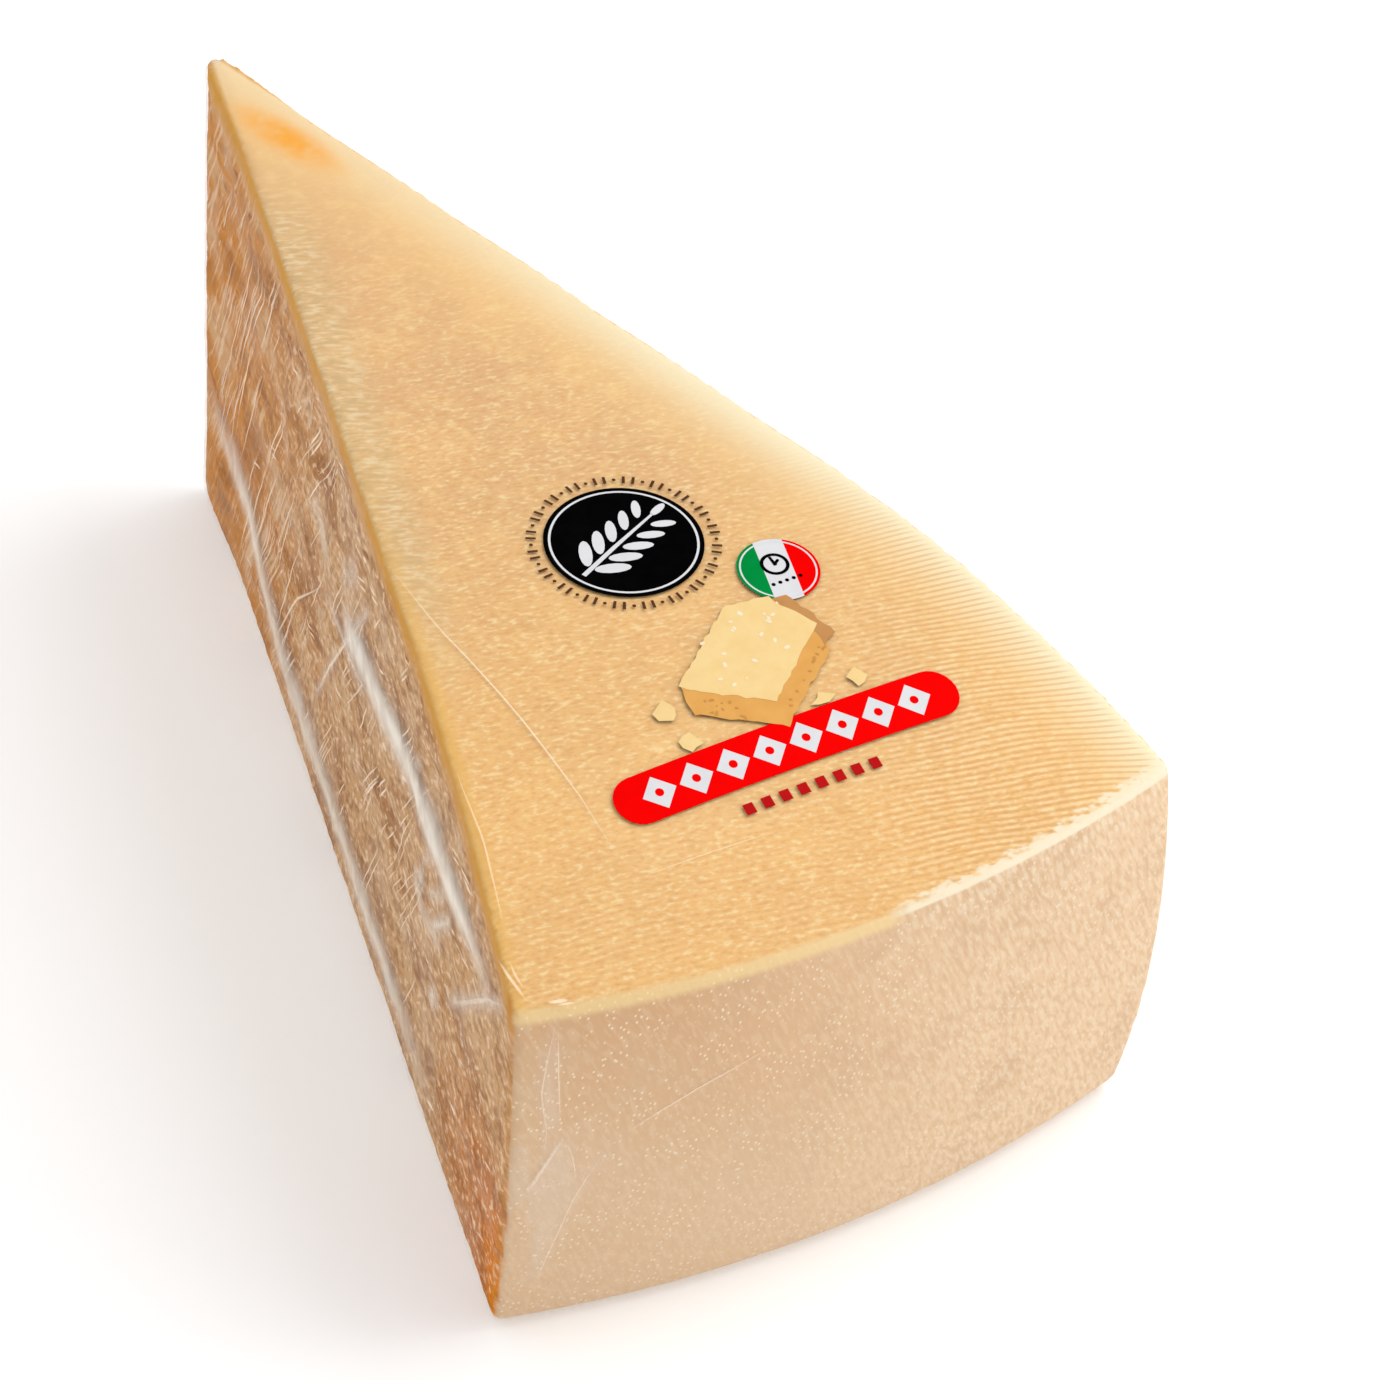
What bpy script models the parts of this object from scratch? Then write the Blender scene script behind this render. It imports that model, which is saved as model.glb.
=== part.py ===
"""A wedge of hard grana cheese, vacuum packed in clear film, with a clear label on its top.

Metres, +Z up. The rind faces -Y and the tip +Y, and the origin is under the middle of the
wedge's box, on the surface that it stands on. The wedge is turned as a piece of the whole
wheel: a domed top that falls away at the shoulder, a barrel-shaped rind and two cut faces
that meet at the wheel's axis.
"""
import math
import random

import bmesh
import bpy
from mathutils import Vector, noise

# The wheel that the wedge was cut from
WHEEL_RADIUS = 0.2128
WEDGE_ANGLE = math.radians(31.9)
TIP_HEIGHT = 0.0924
TOP_FALL = 0.0069
SHOULDER_RADIUS = 0.1412
SHOULDER_DROP = 0.0147
FOOT_TUCK = 0.0046
RIND_BULGE = 0.0035

# How finely the turned surfaces are divided
ARC_STEPS = 10
SHOULDER_RINGS = 6
RIND_RINGS = 5

# Rounding of each kind of edge, as the taut film draws over it
EDGE_ROUNDING = {
    frozenset(("top", "cut")): 0.0014,
    frozenset(("top", "rind")): 0.0016,
    frozenset(("cut", "rind")): 0.0018,
    frozenset(("cut",)): 0.0035,
    frozenset(("bottom", "cut")): 0.0026,
    frozenset(("bottom", "rind")): 0.0034,
}
ROUNDING_SEGMENTS = 3

# Crags and lifted flakes of the two cut faces
CUT_CELL = 0.0050
CRAG_DEPTH = 0.0007
CRAG_SIZE = 0.016
CRAG_FADE = 0.007
FLAKE_COUNT = 16
FLAKE_DEPTH = 0.0008
FLAKE_REACH = 0.012
FLAKE_SEED = 5

# The clear label, a thin sheet that lies on the film over the shoulder
LABEL_GAP = 0.0003
LABEL_THICKNESS = 0.0003
LABEL_FRONT = 0.1942
LABEL_BACK = 0.1152
LABEL_FRONT_HALF = 0.032
LABEL_WIDE = 0.1432
LABEL_WIDE_HALF = 0.035
LABEL_EDGE_MARGIN = 0.0035
LABEL_CORNER = 0.004
LABEL_CELL = 0.006

SMOOTH_ANGLE = math.radians(28)


def top_height(radius):
    """Height of the wheel's top face at a radius: a slow fall, then the shoulder's curve."""
    past_shoulder = max(0.0, (radius - SHOULDER_RADIUS) / (WHEEL_RADIUS - SHOULDER_RADIUS))
    return TIP_HEIGHT - TOP_FALL * radius / WHEEL_RADIUS - SHOULDER_DROP * past_shoulder**2


RIM_HEIGHT = top_height(WHEEL_RADIUS)


def rind_radius(height):
    """Radius of the barrel-shaped rind at a height, tucked in at the foot."""
    up = height / RIM_HEIGHT
    return WHEEL_RADIUS - FOOT_TUCK * (1 - up) + 4 * RIND_BULGE * up * (1 - up)


BELLY_RADIUS = max(rind_radius(RIM_HEIGHT * i / 200) for i in range(201))
AXIS_Y = BELLY_RADIUS / 2


def clear_scene():
    for obj in list(bpy.data.objects):
        bpy.data.objects.remove(obj, do_unlink=True)


def principled(name, color, roughness, transmission=0.0):
    mat = bpy.data.materials.new(name)
    mat.use_nodes = True
    shader = mat.node_tree.nodes["Principled BSDF"]
    shader.inputs["Base Color"].default_value = (*color, 1.0)
    shader.inputs["Roughness"].default_value = roughness
    shader.inputs["Metallic"].default_value = 0.0
    shader.inputs["Transmission Weight"].default_value = transmission
    return mat


def add_object(name, mesh, collection, mat):
    obj = bpy.data.objects.new(name, mesh)
    obj.data.materials.append(mat)
    collection.objects.link(obj)
    return obj


def wheel_profile():
    """Half section of the wheel as (radius, height), from the axis over the top to the foot."""
    shoulder_span = WHEEL_RADIUS - SHOULDER_RADIUS
    top = [SHOULDER_RADIUS + shoulder_span * i / SHOULDER_RINGS for i in range(SHOULDER_RINGS + 1)]
    points = [(0.0, TIP_HEIGHT)] + [(radius, top_height(radius)) for radius in top]
    for i in range(1, RIND_RINGS + 1):
        height = RIM_HEIGHT * (1 - i / RIND_RINGS)
        points.append((rind_radius(height), height))
    points.append((0.0, 0.0))
    return points


def turned_sector():
    """The profile turned through the wedge's angle, open at the two cuts."""
    start = -math.pi / 2 - WEDGE_ANGLE / 2
    bm = bmesh.new()
    verts = [
        bm.verts.new((radius * math.cos(start), radius * math.sin(start), height))
        for radius, height in wheel_profile()
    ]
    for first, second in zip(verts, verts[1:]):
        bm.edges.new((first, second))
    mesh = bpy.data.meshes.new("sector")
    bm.to_mesh(mesh)
    bm.free()

    guide = bpy.data.objects.new("sector", mesh)
    bpy.context.scene.collection.objects.link(guide)
    screw = guide.modifiers.new("turn", "SCREW")
    screw.axis = "Z"
    screw.angle = WEDGE_ANGLE
    screw.steps = ARC_STEPS
    screw.render_steps = ARC_STEPS
    screw.use_merge_vertices = True
    screw.merge_threshold = 0.00001
    return applied(guide)


def applied(obj):
    """The object's mesh with its modifiers applied; the object itself is removed."""
    evaluated = obj.evaluated_get(bpy.context.evaluated_depsgraph_get())
    mesh = bpy.data.meshes.new_from_object(evaluated)
    bpy.data.objects.remove(obj, do_unlink=True)
    return mesh


def on_axis(vert):
    return math.hypot(vert.co.x, vert.co.y) < 1e-5


def close_cuts(bm):
    """Joins the open ends along the axis and closes the two cut faces."""
    bmesh.ops.remove_doubles(bm, verts=bm.verts, dist=0.00001)
    axis_verts = [vert for vert in bm.verts if on_axis(vert)]
    bm.edges.new(axis_verts)
    open_edges = [edge for edge in bm.edges if len(edge.link_faces) < 2]
    bmesh.ops.edgenet_fill(bm, edges=open_edges)
    fans = [
        edge for edge in bm.edges
        if sum(on_axis(vert) for vert in edge.verts) == 1
        and face_kind(edge.link_faces[0]) == face_kind(edge.link_faces[1])
    ]
    bmesh.ops.dissolve_edges(bm, edges=fans, use_verts=False)
    bmesh.ops.recalc_face_normals(bm, faces=bm.faces)


def face_kind(face):
    """Names the wheel's surface that a face of the sharp wedge belongs to."""
    normal = face.normal
    if abs(normal.z) < 0.02 and abs(abs(normal.x) - math.cos(WEDGE_ANGLE / 2)) < 0.02:
        return "cut"
    if abs(normal.z) > 0.7:
        middle = face.calc_center_median().z
        return "bottom" if middle < RIM_HEIGHT / 2 else "top"
    return "rind"


def mark_roundings(bm):
    """Writes each outer edge's rounding as a bevel weight, a share of the largest one."""
    weights = bm.edges.layers.float.new("bevel_weight_edge")
    largest = max(EDGE_ROUNDING.values())
    for edge in bm.edges:
        kinds = frozenset(face_kind(face) for face in edge.link_faces)
        tip = kinds == frozenset(("cut",)) and all(on_axis(vert) for vert in edge.verts)
        if len(kinds) == 2 or tip:
            edge[weights] = EDGE_ROUNDING[kinds] / largest


def rounded_wedge():
    """The closed wedge with all its outer edges rounded."""
    bm = bmesh.new()
    bm.from_mesh(turned_sector())
    close_cuts(bm)
    mark_roundings(bm)
    mesh = bpy.data.meshes.new("sharp")
    bm.to_mesh(mesh)
    bm.free()

    guide = bpy.data.objects.new("sharp", mesh)
    bpy.context.scene.collection.objects.link(guide)
    bevel = guide.modifiers.new("rounding", "BEVEL")
    bevel.limit_method = "WEIGHT"
    bevel.width = max(EDGE_ROUNDING.values())
    bevel.segments = ROUNDING_SEGMENTS
    bevel.use_clamp_overlap = True
    return applied(guide)


def cut_normal(side):
    """Outward normal of the cut face on the -X side (side -1) or the +X side (side +1)."""
    return Vector((side * math.cos(WEDGE_ANGLE / 2), math.sin(WEDGE_ANGLE / 2), 0.0))


def slice_cut_faces(bm, side):
    """Divides one cut face into cells by level and upright slices."""
    normal = cut_normal(side)
    for axis, reach in ((Vector((0, 1, 0)), -BELLY_RADIUS), (Vector((0, 0, 1)), TIP_HEIGHT)):
        count = int(abs(reach) / CUT_CELL)
        for i in range(1, count + 1):
            faces = [face for face in bm.faces if face.normal.dot(normal) > 0.9999]
            edges = list({edge for face in faces for edge in face.edges})
            verts = list({vert for face in faces for vert in face.verts})
            point = axis * (reach * i / (count + 1))
            bmesh.ops.bisect_plane(bm, geom=verts + edges + faces, plane_co=point, plane_no=axis)


def flakes():
    """Places, sizes and depths of the shallow scoops that lifted flakes leave."""
    rng = random.Random(FLAKE_SEED)
    found = []
    for _ in range(FLAKE_COUNT):
        along = rng.uniform(0.25, 0.95) * WHEEL_RADIUS
        height = rng.uniform(0.15, 0.85) * TIP_HEIGHT
        reach = rng.uniform(0.5, 1.0) * FLAKE_REACH
        found.append((along, height, reach, rng.uniform(0.4, 1.0) * FLAKE_DEPTH))
    return found


def relief_depth(along, height, side, scoops):
    """How far a cut face lies under its flat plane, at a distance from the tip and a height."""
    place = Vector((along / CRAG_SIZE, height / CRAG_SIZE, 7.0 * side))
    depth = CRAG_DEPTH * abs(noise.fractal(place, 0.8, 2.0, 3))
    for middle, level, reach, deep in scoops:
        far = math.hypot((along - middle) / 1.8, height - level) / reach
        if far < 1:
            depth += deep * (1 - far**2) ** 2
    to_edge = min(height, top_height(along) - height, along, WHEEL_RADIUS - along)
    return depth * min(1.0, max(0.0, to_edge / CRAG_FADE))


def add_relief(bm, side, scoops):
    """Sinks the inner points of one cut face into crags and flake scoops."""
    normal = cut_normal(side)
    for vert in bm.verts:
        if all(face.normal.dot(normal) > 0.9999 for face in vert.link_faces):
            along = math.hypot(vert.co.x, vert.co.y)
            vert.tag = True
            vert.co -= normal * relief_depth(along, vert.co.z, side, scoops)


def make_wedge(collection):
    bm = bmesh.new()
    bm.from_mesh(rounded_wedge())
    scoops = flakes()
    for side in (-1, 1):
        slice_cut_faces(bm, side)
    bm.normal_update()
    for side in (-1, 1):
        add_relief(bm, side, scoops)
    bmesh.ops.triangulate(bm, faces=bm.faces, quad_method="BEAUTY", ngon_method="BEAUTY")
    bmesh.ops.translate(bm, verts=bm.verts, vec=(0, AXIS_Y, 0))
    mesh = bpy.data.meshes.new("wrapped_wedge")
    bm.to_mesh(mesh)
    bm.free()
    mesh.shade_smooth()
    mesh.set_sharp_from_angle(angle=SMOOTH_ANGLE)
    mat = principled("cheese_in_film", (0.80, 0.55, 0.29), 0.35)
    return add_object("wrapped_wedge", mesh, collection, mat)


def label_outline():
    """Half of the label's outline as (x, distance from the axis), front to back."""
    def edge_half(distance):
        return distance * math.tan(WEDGE_ANGLE / 2) - LABEL_EDGE_MARGIN

    reach = (LABEL_WIDE_HALF + LABEL_EDGE_MARGIN) / math.tan(WEDGE_ANGLE / 2)
    return [
        (LABEL_FRONT_HALF, LABEL_FRONT),
        (LABEL_WIDE_HALF, max(LABEL_WIDE, reach)),
        (edge_half(LABEL_BACK), LABEL_BACK),
    ]


def make_label(collection):
    """The label's outline with round corners, divided, laid on the top and given thickness."""
    half = label_outline()
    outline = [(x, -y) for x, y in half] + [(-x, -y) for x, y in reversed(half)]
    bm = bmesh.new()
    bm.faces.new([bm.verts.new((x, y, 0)) for x, y in outline])
    bmesh.ops.bevel(
        bm, geom=bm.verts[:], offset=LABEL_CORNER, segments=3, profile=0.5, affect="VERTICES"
    )
    for axis, low, high in ((Vector((1, 0, 0)), -LABEL_WIDE_HALF, LABEL_WIDE_HALF),
                            (Vector((0, 1, 0)), -LABEL_FRONT, -LABEL_BACK)):
        count = int((high - low) / LABEL_CELL)
        for i in range(1, count):
            geom = bm.verts[:] + bm.edges[:] + bm.faces[:]
            point = axis * (low + (high - low) * i / count)
            bmesh.ops.bisect_plane(bm, geom=geom, plane_co=point, plane_no=axis)
    for vert in bm.verts:
        vert.co.z = top_height(math.hypot(vert.co.x, vert.co.y)) + LABEL_GAP
    bmesh.ops.recalc_face_normals(bm, faces=bm.faces)
    if sum(face.normal.z for face in bm.faces) < 0:
        bmesh.ops.reverse_faces(bm, faces=bm.faces)
    bmesh.ops.translate(bm, verts=bm.verts, vec=(0, AXIS_Y, 0))
    mesh = bpy.data.meshes.new("label")
    bm.to_mesh(mesh)
    bm.free()
    label = add_object("label", mesh, collection, principled("clear_label", (0.9, 0.9, 0.9), 0.2, 0.9))
    shell = label.modifiers.new("thickness", "SOLIDIFY")
    shell.thickness = LABEL_THICKNESS
    shell.offset = 1.0
    return label


def main():
    clear_scene()
    collection = bpy.data.collections.new("parmesan_wedge")
    bpy.context.scene.collection.children.link(collection)
    make_wedge(collection)
    make_label(collection)


main()
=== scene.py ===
# %% [markdown]
# A wedge of hard aged cheese, vacuum packed. The real thing has three layers: the cheese
# itself, a clear film drawn tight over it, and a clear label with a printed design. They
# could all be painted on one solid, but only separate pieces catch the light as film over
# cheese does. So each layer is its own piece here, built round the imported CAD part.

import math
import random

import bmesh
import bpy
import numpy as np
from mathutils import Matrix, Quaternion, Vector, noise


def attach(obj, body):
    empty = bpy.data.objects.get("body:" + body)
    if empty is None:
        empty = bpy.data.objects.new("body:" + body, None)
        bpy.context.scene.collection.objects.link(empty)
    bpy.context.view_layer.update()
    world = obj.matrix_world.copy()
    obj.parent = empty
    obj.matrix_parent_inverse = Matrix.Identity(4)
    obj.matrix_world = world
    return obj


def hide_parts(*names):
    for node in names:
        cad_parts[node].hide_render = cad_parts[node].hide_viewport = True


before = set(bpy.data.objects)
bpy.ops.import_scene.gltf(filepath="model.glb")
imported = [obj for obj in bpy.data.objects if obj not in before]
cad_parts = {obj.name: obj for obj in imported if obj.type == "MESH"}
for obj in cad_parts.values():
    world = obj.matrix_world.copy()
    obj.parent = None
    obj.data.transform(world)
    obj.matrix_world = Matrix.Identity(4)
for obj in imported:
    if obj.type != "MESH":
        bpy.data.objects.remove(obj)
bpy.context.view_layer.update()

# %% [markdown]
# The wedge is a piece of a whole wheel, so its shape is easiest to say as the wheel's own
# section: the height of the domed top at each radius, and the radius of the barrel-shaped
# rind at each height. The same few numbers place everything else: film, label and print.

# %% The wheel and the wedge
WHEEL_RADIUS = 0.2128
HALF_ANGLE = math.radians(31.9 / 2)
HALF_COS = math.cos(HALF_ANGLE)
HALF_SIN = math.sin(HALF_ANGLE)
TIP_HEIGHT = 0.0924
TOP_FALL = 0.0069
SHOULDER_RADIUS = 0.1412
SHOULDER_DROP = 0.0147
FOOT_TUCK = 0.0046
RIND_BULGE = 0.0035


def top_height(radius):
    """Height of the wheel's domed top at a radius."""
    past = np.clip((radius - SHOULDER_RADIUS) / (WHEEL_RADIUS - SHOULDER_RADIUS), 0, None)
    return TIP_HEIGHT - TOP_FALL * radius / WHEEL_RADIUS - SHOULDER_DROP * past**2


RIM_HEIGHT = float(top_height(WHEEL_RADIUS))


def rind_radius(height):
    """Radius of the barrel-shaped rind at a height."""
    up = height / RIM_HEIGHT
    return WHEEL_RADIUS - FOOT_TUCK * (1 - up) + 4 * RIND_BULGE * up * (1 - up)


AXIS_Y = float(max(rind_radius(RIM_HEIGHT * i / 200) for i in range(201))) / 2
print("rim height", round(RIM_HEIGHT, 4), "wheel's axis at y", round(AXIS_Y, 4))

# %% [markdown]
# The camera stands at the photograph's angle: low over the near left corner, far away
# with a long lens, and turned a little about its own line of sight. It is made first, so
# that every piece can be looked at as it is made.

# %% Camera
AIM = Vector((0.0320, -0.0014, 0.0222))
CAMERA_DISTANCE = 1.30
CAMERA_AZIMUTH = math.radians(-32.97)
CAMERA_ELEVATION = math.radians(41.2)
CAMERA_ROLL = math.radians(3.31)
SENSOR = 36.0
FOCAL_PIXELS = 8002.0
PHOTO_PIXELS = 1380.0

back = Vector((
    math.sin(CAMERA_AZIMUTH) * math.cos(CAMERA_ELEVATION),
    -math.cos(CAMERA_AZIMUTH) * math.cos(CAMERA_ELEVATION),
    math.sin(CAMERA_ELEVATION),
))
camera_data = bpy.data.cameras.new("camera")
camera_data.sensor_width = SENSOR
camera_data.lens = FOCAL_PIXELS / PHOTO_PIXELS * SENSOR
camera = bpy.data.objects.new("camera", camera_data)
bpy.context.scene.collection.objects.link(camera)
camera.rotation_mode = "QUATERNION"
camera.location = AIM + back * CAMERA_DISTANCE
roll = Quaternion((0, 0, 1), CAMERA_ROLL)
camera.rotation_quaternion = (-back).to_track_quat("-Z", "Y") @ roll
bpy.context.scene.camera = camera
print("camera at", [round(c, 3) for c in camera.location], "lens", round(camera_data.lens, 1))

# %% [markdown]
# Working by hand in Blender means: pick the object, open edit mode, select some faces or
# edges, and run an operator on them. These helpers say those habits once. Everything is
# deselected before a primitive is added, because the imported CAD nodes come in selected.

# %% Helpers for modelling by hand
def fresh(name, adder, **settings):
    """Adds a primitive with nothing else selected, names it and puts its place in its mesh."""
    if bpy.context.object and bpy.context.object.mode == "EDIT":
        bpy.ops.object.mode_set(mode="OBJECT")
    bpy.ops.object.select_all(action="DESELECT")
    adder(**settings)
    obj = bpy.context.object
    obj.name = name
    obj.data.name = name
    bpy.ops.object.transform_apply(location=True, rotation=True, scale=True)
    return obj


def work_on(obj):
    """Makes obj the only selected object."""
    bpy.ops.object.select_all(action="DESELECT")
    obj.select_set(True)
    bpy.context.view_layer.objects.active = obj


def open_edit(obj, mode="FACE"):
    """Opens edit mode on obj with nothing selected."""
    work_on(obj)
    bpy.ops.object.mode_set(mode="EDIT")
    bpy.ops.mesh.select_mode(type=mode)
    bpy.ops.mesh.select_all(action="DESELECT")


def close_edit():
    bpy.ops.object.mode_set(mode="OBJECT")


def pick(obj, test, part="faces"):
    """Selects the faces, edges or points of obj, open in edit mode, that pass a test."""
    bm = bmesh.from_edit_mesh(obj.data)
    chosen = [item for item in getattr(bm, part) if test(item)]
    for item in chosen:
        item.select_set(True)
    bm.select_flush_mode()
    bmesh.update_edit_mesh(obj.data)
    return len(chosen)


def slice_all(place, normal, **settings):
    """Cuts the whole open mesh with a plane."""
    bpy.ops.mesh.select_all(action="SELECT")
    bpy.ops.mesh.bisect(plane_co=place, plane_no=normal, **settings)


def apply_modifier(obj, kind, **settings):
    """Adds a modifier with its settings and applies it."""
    work_on(obj)
    modifier = obj.modifiers.new(kind.lower(), kind)
    for key, value in settings.items():
        setattr(modifier, key, value)
    bpy.ops.object.modifier_apply(modifier=modifier.name)


def points_of(obj):
    """The places of a mesh's points as an array of rows."""
    places = np.zeros(len(obj.data.vertices) * 3)
    obj.data.vertices.foreach_get("co", places)
    return places.reshape(-1, 3)


def set_points(obj, places):
    obj.data.vertices.foreach_set("co", places.ravel())
    obj.data.update()


def normals_of(obj):
    """The normals of a mesh's points as an array of rows."""
    normals = np.zeros(len(obj.data.vertices) * 3)
    obj.data.vertex_normals.foreach_get("vector", normals)
    return normals.reshape(-1, 3)


def write_attribute(obj, name, values):
    """Keeps one number for each point, which a material can read."""
    kept = obj.data.attributes.new(name, "FLOAT", "POINT")
    kept.data.foreach_set("value", np.asarray(values, np.float32))


def smooth_and_count(obj):
    """Shades a finished skin smooth and returns its number of triangles."""
    work_on(obj)
    bpy.ops.object.shade_smooth()
    return sum(len(face.vertices) - 2 for face in obj.data.polygons)


# %% [markdown]
# The blank is the plain wedge: a cylinder as large as the wheel, with insets that become
# the shoulder of its top and levels that become the barrel of its rind. Then two cuts
# through the axis take the wedge out, as the cheesemonger's wire does. A lathed outline
# would give the same surface, but cutting a wheel also closes the two cut faces.

# %% The wheel, shaped and cut
WHEEL_SIDES = 192
SHOULDER_INSETS = 8
RIND_LEVELS = 8
INNER_INSETS = (0.05, 0.05)
NEAR = 0.00001
FACES_UP = 0.9


def cut_normal(side):
    """Outward normal of the cut face on the -X side (-1) or the +X side (+1)."""
    return Vector((side * HALF_COS, HALF_SIN, 0.0))


def wheel(name):
    """The whole wheel with its dome and barrel."""
    obj = fresh(
        name, bpy.ops.mesh.primitive_cylinder_add, vertices=WHEEL_SIDES, radius=WHEEL_RADIUS,
        depth=TIP_HEIGHT, end_fill_type="NGON", location=(0, AXIS_Y, TIP_HEIGHT / 2),
    )
    open_edit(obj)
    pick(obj, lambda face: face.normal.z > FACES_UP)
    step = (WHEEL_RADIUS - SHOULDER_RADIUS) / SHOULDER_INSETS
    for thickness in (step,) * SHOULDER_INSETS + INNER_INSETS:
        bpy.ops.mesh.inset(thickness=thickness)
    bpy.ops.mesh.merge(type="COLLAPSE")
    for i in range(1, RIND_LEVELS):
        slice_all((0, 0, RIM_HEIGHT * i / RIND_LEVELS), (0, 0, 1))
    close_edit()

    places = points_of(obj)
    radius = np.hypot(places[:, 0], places[:, 1] - AXIS_Y)
    on_top = places[:, 2] > TIP_HEIGHT - NEAR
    places[on_top, 2] = top_height(radius[on_top])
    side = radius > WHEEL_RADIUS - NEAR
    swell = rind_radius(places[side, 2]) / WHEEL_RADIUS
    places[side, 0] *= swell
    places[side, 1] = AXIS_Y + (places[side, 1] - AXIS_Y) * swell
    set_points(obj, places)
    return obj


def cut_wedge(obj):
    """Cuts the wedge out of the wheel, through the axis on both sides."""
    open_edit(obj)
    for side in (-1, 1):
        slice_all((0, AXIS_Y, 0), cut_normal(side), use_fill=True, clear_outer=True)
    close_edit()


# %% [markdown]
# A packed wedge has no sharp edge: the film draws over each one. The tip and the foot are
# rounded most. Bevel weights let one Bevel modifier give each kind of edge its own size.

# %% Rounded edges
EDGE_ROUNDING = {
    ("cut", "top"): 0.0014,
    ("rind", "top"): 0.0016,
    ("cut", "rind"): 0.0018,
    ("cut", "cut"): 0.0066,
    ("bottom", "cut"): 0.0026,
    ("bottom", "rind"): 0.0034,
}
LARGEST_ROUNDING = max(EDGE_ROUNDING.values())
ROUNDING_STEPS = 3
LEVEL = 0.7
ON_THE_CUT = 0.9999
STRAIGHT_ON = 0.99


def face_kind(face):
    """Names the surface of the wheel that a face belongs to."""
    if abs(face.normal.z) > LEVEL:
        return "top" if face.normal.z > 0 else "bottom"
    if max(face.normal.dot(cut_normal(side)) for side in (-1, 1)) > ON_THE_CUT:
        return "cut"
    return "rind"


def round_edges(obj):
    """Weighs each outer edge by its rounding and bevels them all."""
    bm = bmesh.new()
    bm.from_mesh(obj.data)
    bm.normal_update()
    weights = bm.edges.layers.float.new("bevel_weight_edge")
    counted = 0
    for edge in bm.edges:
        kinds = tuple(sorted(face_kind(face) for face in edge.link_faces))
        straight = edge.link_faces[0].normal.dot(edge.link_faces[-1].normal) > STRAIGHT_ON
        if kinds in EDGE_ROUNDING and not straight:
            edge[weights] = EDGE_ROUNDING[kinds] / LARGEST_ROUNDING
            counted += 1
    bm.to_mesh(obj.data)
    bm.free()
    apply_modifier(
        obj, "BEVEL", limit_method="WEIGHT", width=LARGEST_ROUNDING, segments=ROUNDING_STEPS,
        use_clamp_overlap=True,
    )
    return counted


def blank(name, cell):
    """A closed, rounded wedge with an even mesh of small cells."""
    obj = wheel(name)
    cut_wedge(obj)
    edges = round_edges(obj)
    apply_modifier(obj, "REMESH", mode="VOXEL", voxel_size=cell)
    print(name, "has", edges, "rounded edges and", len(obj.data.polygons), "cells")
    return obj


# %% [markdown]
# The patterns and the relief need to know where a point lies on the cheese: on the top,
# on the rind or on a cut face, and how far along. These functions unroll the wedge, so
# that a scratch on the cut face can be placed by its distance from the tip and its height.

# %% Where a point lies on the wedge
CUT_SEAM = 0.0005
RIM_SEAM = 0.0006


def smooth_step(value, low, high):
    share = np.clip((value - low) / (high - low), 0, 1)
    return share * share * (3 - 2 * share)


def unrolled(places):
    """Distance from the axis, arc along the rind, height, side, and depth under each surface."""
    x = places[:, 0]
    y = places[:, 1] - AXIS_Y
    z = places[:, 2]
    radius = np.hypot(x, y)
    return {
        "along": -y * HALF_COS + np.abs(x) * HALF_SIN,
        "arc": WHEEL_RADIUS * np.arctan2(x, -y),
        "height": z,
        "side": np.where(x < 0, -1.0, 1.0),
        "under_cut": -(np.abs(x) * HALF_COS + y * HALF_SIN),
        "under_top": top_height(radius) - z,
        "under_rind": rind_radius(z) - radius,
    }


def zone_shares(at):
    """How much a point belongs to the cut faces and to the rind; the rest is the top."""
    below = np.minimum(at["under_rind"], at["height"])
    skin = np.minimum(at["under_top"], below)
    cut = 1 - smooth_step(at["under_cut"] - skin, -CUT_SEAM, CUT_SEAM)
    rind = 1 - smooth_step(below - at["under_top"], -RIM_SEAM, RIM_SEAM)
    return cut, rind


# %% [markdown]
# A hard cheese doesn't cut smooth: it breaks along its grain, which leaves low crags and
# shallow scoops where flakes came away. The broad relief is the same as the CAD part's, by
# the same formula, and a finer grain is added here, because only this mesh can hold it. The
# narrow tip is the softest place, and the vacuum presses it blunt.

# %% Relief of the cut faces
CRAG_DEPTH = 0.0007
CRAG_SIZE = 0.016
CRAG_FADE = 0.007
FLAKE_COUNT = 16
FLAKE_DEPTH = 0.0008
FLAKE_REACH = 0.012
FLAKE_STRETCH = 1.8
FLAKE_SEED = 5
GRAIN_DEPTH = 0.00022
GRAIN_SIZE = 0.0035
GRAIN_STRETCH = 1.6
GRAIN_FADE = CRAG_FADE / 3


def flake_scoops():
    """Places, sizes and depths of the shallow scoops that lifted flakes leave."""
    draw = random.Random(FLAKE_SEED)
    scoops = []
    for _ in range(FLAKE_COUNT):
        along = draw.uniform(0.25, 0.95) * WHEEL_RADIUS
        height = draw.uniform(0.15, 0.85) * TIP_HEIGHT
        reach = draw.uniform(0.5, 1.0) * FLAKE_REACH
        scoops.append((along, height, reach, draw.uniform(0.4, 1.0) * FLAKE_DEPTH))
    return scoops


def broken_paste(at, near, size, stretch, layer, rough):
    """Folded noise on the points near a cut, drawn out along it, from 0 to about 1."""
    folded = np.zeros(len(at["along"]))
    for i in np.nonzero(at["under_cut"] < near)[0]:
        place = Vector((
            at["along"][i] / size / stretch, at["height"][i] / size, layer * at["side"][i],
        ))
        folded[i] = abs(noise.fractal(place, rough, 2.0, 3))
    return folded


def inside_edges(at):
    """How far each point of a cut lies from the nearest edge of that cut."""
    edge = np.minimum(at["height"], at["under_top"])
    return np.minimum(edge, np.minimum(at["along"], at["under_rind"]))


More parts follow.
